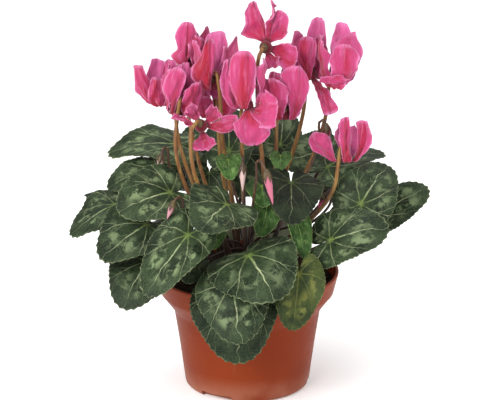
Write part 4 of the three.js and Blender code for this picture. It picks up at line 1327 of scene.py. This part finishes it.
def makeFlatPetal():  # X runs across from -1 to 1, Y from base to tip
    piece = gridSheet("flatPetal", bloom["columns"], bloom["rows"])
    mesh = piece.data
    for vertex in mesh.vertices:
        vertex.co.y = (vertex.co.y + 1) / 2
    flat = mesh.uv_layers.active
    for loop in mesh.loops:
        flat.data[loop.index].uv = mesh.vertices[loop.vertex_index].co.xy
    return piece


def follow(rows, share, column):  # smooth curve through the rows of an outline
    number = 0
    while share > rows[number + 1][0] and number < len(rows) - 2:
        number += 1
    here, there = rows[number], rows[number + 1]
    before, after = rows[max(number - 1, 0)], rows[min(number + 2, len(rows) - 1)]
    step = (share - here[0]) / (there[0] - here[0])
    a, b, c, d = before[column], here[column], there[column], after[column]
    bend = (c - a) * step + (2 * a - 5 * b + 4 * c - d) * step ** 2 + (3 * b - a - 3 * c + d) * step ** 3
    return b + 0.5 * bend


def halfWidth(petal, share, across, seed):
    if petal["shape"] in petalOutlines:
        return follow(petalOutlines[petal["shape"]], share, 1 if across > 0 else 2)
    uneven = 1 + bloom["uneven"] * math.sin(5.5 * share + 1.9 * seed + 1.6 * across)
    return petal["shape"] / 2 * petalWidth(share) * bloom["broader"] * uneven


def ragged(share, across, seed):  # small nicks and lobes of a petal's edge, a share of its half width
    return 1 + bloom["nicks"] * noise.noise(Vector((9 * share, 3 * across, seed))) * min(1, 3 * share)


# The bends of a petal's surface, as a share of its half width. The odd factors of the seed only make
# each petal roll, ruffle and crease in its own way.

def petalLift(across, share, plain, seed):
    roll = math.sin(4.2 * share + 1.3 * seed) * across
    ruffle = math.sin(bloom["ruffles"] * share + 2.1 * seed + 1.5 * across) * abs(across) ** 2.5
    crease = math.hypot(across - 0.25 * math.sin(seed), 0.2) - 0.5
    lift = plain * bloom["roll"] * roll + bloom["ruffle"] * ruffle - bloom["crease"] * crease
    return lift - bloom["cup"] * across ** 2


def makePetal(flatPetal, row, petal, seed):
    lean, length = math.radians(petal["lean"]), petal["length"]
    directions = flowerFrame(row)
    axis = directions[0]
    out = spoke(directions, petal["azimuth"])
    heading = axis * math.cos(lean) + out * math.sin(lean)
    heading = (heading + out.cross(axis) * petal.get("sweep", 0)).normalized()
    mouth = Vector(row["mouth"])
    corners = (
        mouth + out * (bloom["mouth"] - bloom["inset"]) + axis * bloom["inset"],
        mouth + out * (bloom["mouth"] + bloom["flare"]) - axis * bloom["flare"],
        mouth + heading * (length * 0.5) + out * bloom["belly"],
        mouth + heading * length,
    )
    outlined = petal["shape"] in petalOutlines
    plain = bloom["outlinedRoll"] if outlined else 1
    slant = 0 if outlined else bloom["slant"] * math.sin(2.3 * seed + 1)
    piece = copyOf(flatPetal, "petal")
    for vertex in piece.data.vertices:
        across, share = vertex.co.x, vertex.co.y
        tangent = cubicHeading(corners, share)
        twist = math.radians(petal["twist"] * min(1, 2 * share))
        side = Quaternion(tangent, twist) @ out.cross(axis)
        face = tangent.cross(side).normalized()
        side = face.cross(tangent)
        half = halfWidth(petal, share, across, seed) * ragged(share, across, seed)
        atTip = max(0.0, (share - bloom["tipStart"]) / (1 - bloom["tipStart"])) ** 2
        place = cubic(corners, share) + side * (across * half)
        place += tangent * (length * atTip * (bloom["tip"] * (1 - abs(across) ** 3) + slant * across))
        fold = noise.fractal(Vector((1.7 * across, 3.4 * share, seed)), 0.9, 2.0, 3)
        lift = petalLift(across, share, plain, seed) * half + bloom["crinkle"] * fold
        vertex.co = (place + face * lift * min(1, share * 2.2)) * mm
    mark(piece, "seed", seed)
    mark(piece, "redness", petalRedness.get(petal["shape"], 0))
    # painted light, strongest on the upright flowers' petals that point away from the camera
    mark(piece, "paintedBacklight", bloom["paintedBacklight"] * max(0, out.y) * axis.z)
    thicken(piece, bloom["thickness"] * mm)
    return piece


def makeFlatTube():  # short throat of the flower, its mouth at the origin
    piece = spunPiece("tube", [(r * mm, h * mm) for r, h in bloom["tube"]], 24)
    mesh = piece.data
    flat = mesh.uv_layers.new(name="UVMap")
    for loop in mesh.loops:
        flat.data[loop.index].uv = (0.0, 0.1)  # the colour of a petal's base
    return piece


def onFlower(piece, row):
    axis, right, back = flowerFrame(row)
    mouth = Vector(row["mouth"]) * mm
    for vertex in piece.data.vertices:
        x, y, z = vertex.co
        vertex.co = mouth + right * x + back * y + axis * z


def makeBlooms():
    flatPetal = makeFlatPetal()
    flatTube = makeFlatTube()
    flatCalyx = makeFlatCalyx()
    for number, row in enumerate(flowers):
        label = f"{number + 1:02d}"
        made = []
        for place, petal in enumerate(row["petals"]):
            petal = dict(zip(petalColumns, petal))
            made.append(makePetal(flatPetal, row, petal, number * 5 + place * 1.9))
        tube = copyOf(flatTube, "tube")
        onFlower(tube, row)
        for name in ("seed", "redness", "paintedBacklight"):
            mark(tube, name, 0)
        piece = joined("flower_" + label, made + [tube])
        give(piece, "petal")
        smooth(piece, 60)
        placed(piece, "flower_" + label, ["bloom_" + label])
        makeFlowerStalk(flatCalyx, row, label)
    drop(flatPetal, flatTube)
    print("blooms made")
    return flatCalyx


# Flower stalks, hooked over at the top into a five-pointed calyx

flowerStalk = {
    "hookWidth": 6.4,
    "hookHeight": 9,
    "end": 7.7,  # how far up the flower's axis it ends, in the calyx
    "radius": 1.5,
    "taper": 0.022,  # share of the radius that each point along it loses
    "steps": 9,
    "nodding": 0.6,  # least rise of a flower's axis for its stalk to pass beside the tube
    "aside": 2.6,  # how far outside the hook it comes up
    "below": 5,  # how far below the mouth it has turned to the flower's axis
    "behind": 14,  # how far behind the mouth the stalk of any other flower starts to bend over
}
calyxShape = {
    "sepals": 5,
    "halfWidth": 2.1,
    "top": 9.4,
    "length": 4.6,
    "narrow": 0.9,
    "swell": 1.9,
    "ridge": 0.25,
    "thickness": 0.4,
    "knob": [(0, 5.6), (1.7, 5.8), (2.1, 6.8), (2, 8.2), (1.7, 9.2), (1.3, 9.9), (0, 10)],
}


def makeFlatCalyx():  # five pointed sepals and the swollen top they grow from, along Z
    shape = calyxShape
    made = []
    for number in range(shape["sepals"]):
        sepal = gridSheet("sepal", 4, 6)
        turn = 2 * math.pi * number / shape["sepals"]
        for vertex in sepal.data.vertices:
            across, share = vertex.co.x, (vertex.co.y + 1) / 2
            wide = math.sin(math.pi * (0.18 + 0.82 * (1 - share) ** 0.8) * 0.62) * (1 - share ** 3)
            radius = shape["narrow"] + shape["swell"] * math.sin(share * 1.9)
            height = shape["top"] - shape["length"] * share ** 1.4
            angle = turn + across * shape["halfWidth"] * wide / max(radius, 1.2)
            radius += shape["ridge"] * (1 - across ** 2)
            vertex.co = Vector((math.cos(angle) * radius, math.sin(angle) * radius, height)) * mm
        thicken(sepal, shape["thickness"] * mm)
        made.append(sepal)
    made.append(spunPiece("knob", [(r * mm, h * mm) for r, h in shape["knob"]], 15))
    piece = joined("flatCalyx", made)
    tidyMesh(piece)
    return piece


def makeFlowerStalk(flatCalyx, row, label):
    plan = flowerStalk
    directions = flowerFrame(row)
    axis = directions[0]
    out = spoke(directions, row["gap"])
    mouth = Vector(row["mouth"])
    wide, high = plan["hookWidth"], plan["hookHeight"]
    nodding = axis.z > plan["nodding"]
    foot, normal = footAt(*row["foot"])
    if nodding:
        end, arrive = mouth + out * (wide + plan["aside"]) - axis * plan["below"], axis
    else:
        end, arrive = mouth + out * wide + axis * plan["behind"], (upward - out * 0.5).normalized()
    points = stemPoints(foot, normal, end, arrive, plan["steps"])
    for angle in (0, 45, 90, 135) if nodding else (90, 135):
        turn = math.radians(angle)
        along, rise = wide / 2 * (1 + math.cos(turn)), high + wide / 2 * math.sin(turn)
        points.append(mouth + out * along + axis * rise)
    points.append(mouth + axis * plan["end"])
    radii = [plan["radius"] * (1.1 - plan["taper"] * number) for number in range(len(points))]
    stalk = tubeThrough("stalk", points, radii, resolution=5)
    give(stalk, "flowerStalk")
    calyx = copyOf(flatCalyx, "calyx")
    onFlower(calyx, row)
    give(calyx, "calyx")
    piece = joined("flowerStalk_" + label, [stalk, calyx])
    smooth(piece, 50)
    placed(piece, "flowerStalk_" + label, ["stalk_" + label])


# Buds in clusters that share a crown on the tuber: top of the hook, tip, girth and blush of each bud

buds = {
    "left": {
        "crown": (-8, 1),
        "rows": [
            ((-57, -2, 174), (-61, -5, 158), 2.4, 0.1),
            ((-45.5, -47.8, 152.5), (-52.5, -53, 142.5), 2.0, 0.5),
        ],
    },
    "front": {
        "crown": (0, -17.5),
        "rows": [((-3, -33, 177), (-3, -38, 158), 2.1, 0.0), ((8, -50, 179), (16, -58, 157.5), 2.5, 0.8)],
    },
    "right": {
        "crown": (12, -5.5),
        "rows": [((52, -6, 195), (56, -8, 183), 2.5, 0.9), ((59, -8, 145), (51, -13, 136), 2.2, 1.0)],
    },
}
budShape = {
    "profile": [
        (0, 0), (0.55, 0.05), (0.9, 0.16), (1, 0.3), (0.94, 0.45), (0.72, 0.62), (0.45, 0.78), (0.2, 0.92),
        (0, 1),
    ],
    "stalkRadius": 0.95,
    "stalkSteps": 8,
    "lobes": 0.1,
    "neck": (0.3, 0.6),  # how far the hook comes down towards the tip, and out
    "inCalyx": 1.1,
    "calyxSize": (1.2, 3.6),  # how much wider than the bud it is, and the flat calyx's own width
    "calyxTop": 9.6,
    "calyxLength": 1.7,
}


def makeFlatBud():  # unit length and girth, five petals rolled round each other
    piece = spunPiece("flatBud", budShape["profile"], 30)
    mesh = piece.data
    flat = mesh.uv_layers.new(name="UVMap")
    for face in mesh.polygons:
        middle = math.atan2(face.center.y, face.center.x) / (2 * math.pi)
        for corner in face.loop_indices:
            place = mesh.vertices[mesh.loops[corner].vertex_index].co
            around = math.atan2(place.y, place.x) / (2 * math.pi)
            if abs(around - middle) > 0.5:
                around += 1 if middle > around else -1
            flat.data[corner].uv = (around if place.xy.length > 1e-4 else middle, place.z)
    for vertex in mesh.vertices:
        turn = math.atan2(vertex.co.y, vertex.co.x)
        wound = rolledPetals["count"] * turn + 2 * math.pi * rolledPetals["turns"] * vertex.co.z
        swell = 1 + budShape["lobes"] * math.cos(wound)
        vertex.co.x *= swell
        vertex.co.y *= swell
    return piece


def makeBud(flatBud, flatCalyx, row, foot, normal):
    top, tip, girth, blush = row
    crest, point = Vector(top), Vector(tip)
    lead = point - crest
    side = Vector((lead.x, lead.y, 0)) * 0.5
    down, outwards = budShape["neck"]
    neck = crest + lead * down + side * outwards
    points = stemPoints(foot, normal, crest, upward, budShape["stalkSteps"], side) + [neck]
    stalk = tubeThrough("stalk", points, [budShape["stalkRadius"]] * len(points), detail=2)
    give(stalk, "leafStalk")
    heading = (point - neck).normalized()
    turn = upward.rotation_difference(heading)
    start = neck - heading * budShape["inCalyx"]
    bud = copyOf(flatBud, "bud")
    for vertex in bud.data.vertices:
        x, y, z = vertex.co
        vertex.co = (start + turn @ Vector((x * girth, y * girth, z * lead.length))) * mm
    mark(bud, "blush", blush)
    give(bud, "bud")
    calyx = copyOf(flatCalyx, "calyx")
    wider, flatWidth = budShape["calyxSize"]
    scale = (girth + wider) / flatWidth
    tall = scale * budShape["calyxLength"]
    for vertex in calyx.data.vertices:
        x, y, z = vertex.co / mm
        height = (budShape["calyxTop"] - z) * tall
        vertex.co = (start + turn @ Vector((x * scale, -y * scale, height))) * mm
    give(calyx, "calyx")
    return [stalk, bud, calyx]


def makeBuds(flatCalyx):
    flatBud = makeFlatBud()
    for side, cluster in buds.items():
        foot, normal = crownFoot(*cluster["crown"])
        made = [makeCrown(foot, normal, crown["budSize"])]
        give(made[0], "flowerStalk")
        for row in cluster["rows"]:
            made += makeBud(flatBud, flatCalyx, row, foot, normal)
        piece = joined("budSprig_" + side, made)
        smooth(piece, 50)
        placed(piece, "budSprig_" + side, ["buds_" + side])
    drop(flatBud, flatCalyx)
    print("buds made")


def makeFloor():
    clearSelection()
    plan = studio["floor"]
    bpy.ops.mesh.primitive_plane_add(size=plan["size"], location=(0, 0, -plan["below"]))
    floor = named("paleFloor")
    give(floor, "floor")


makeCamera()
makeSky()
makeFloor()
for lamp in ("key", "fill", "top"):
    softLight(lamp + "Light", **studio[lamp])
print("camera and light set")
makePot()
makeSoil()
makeTuber()
print("pot, peat and tuber made")
makeLeaves()
makeBuds(makeBlooms())
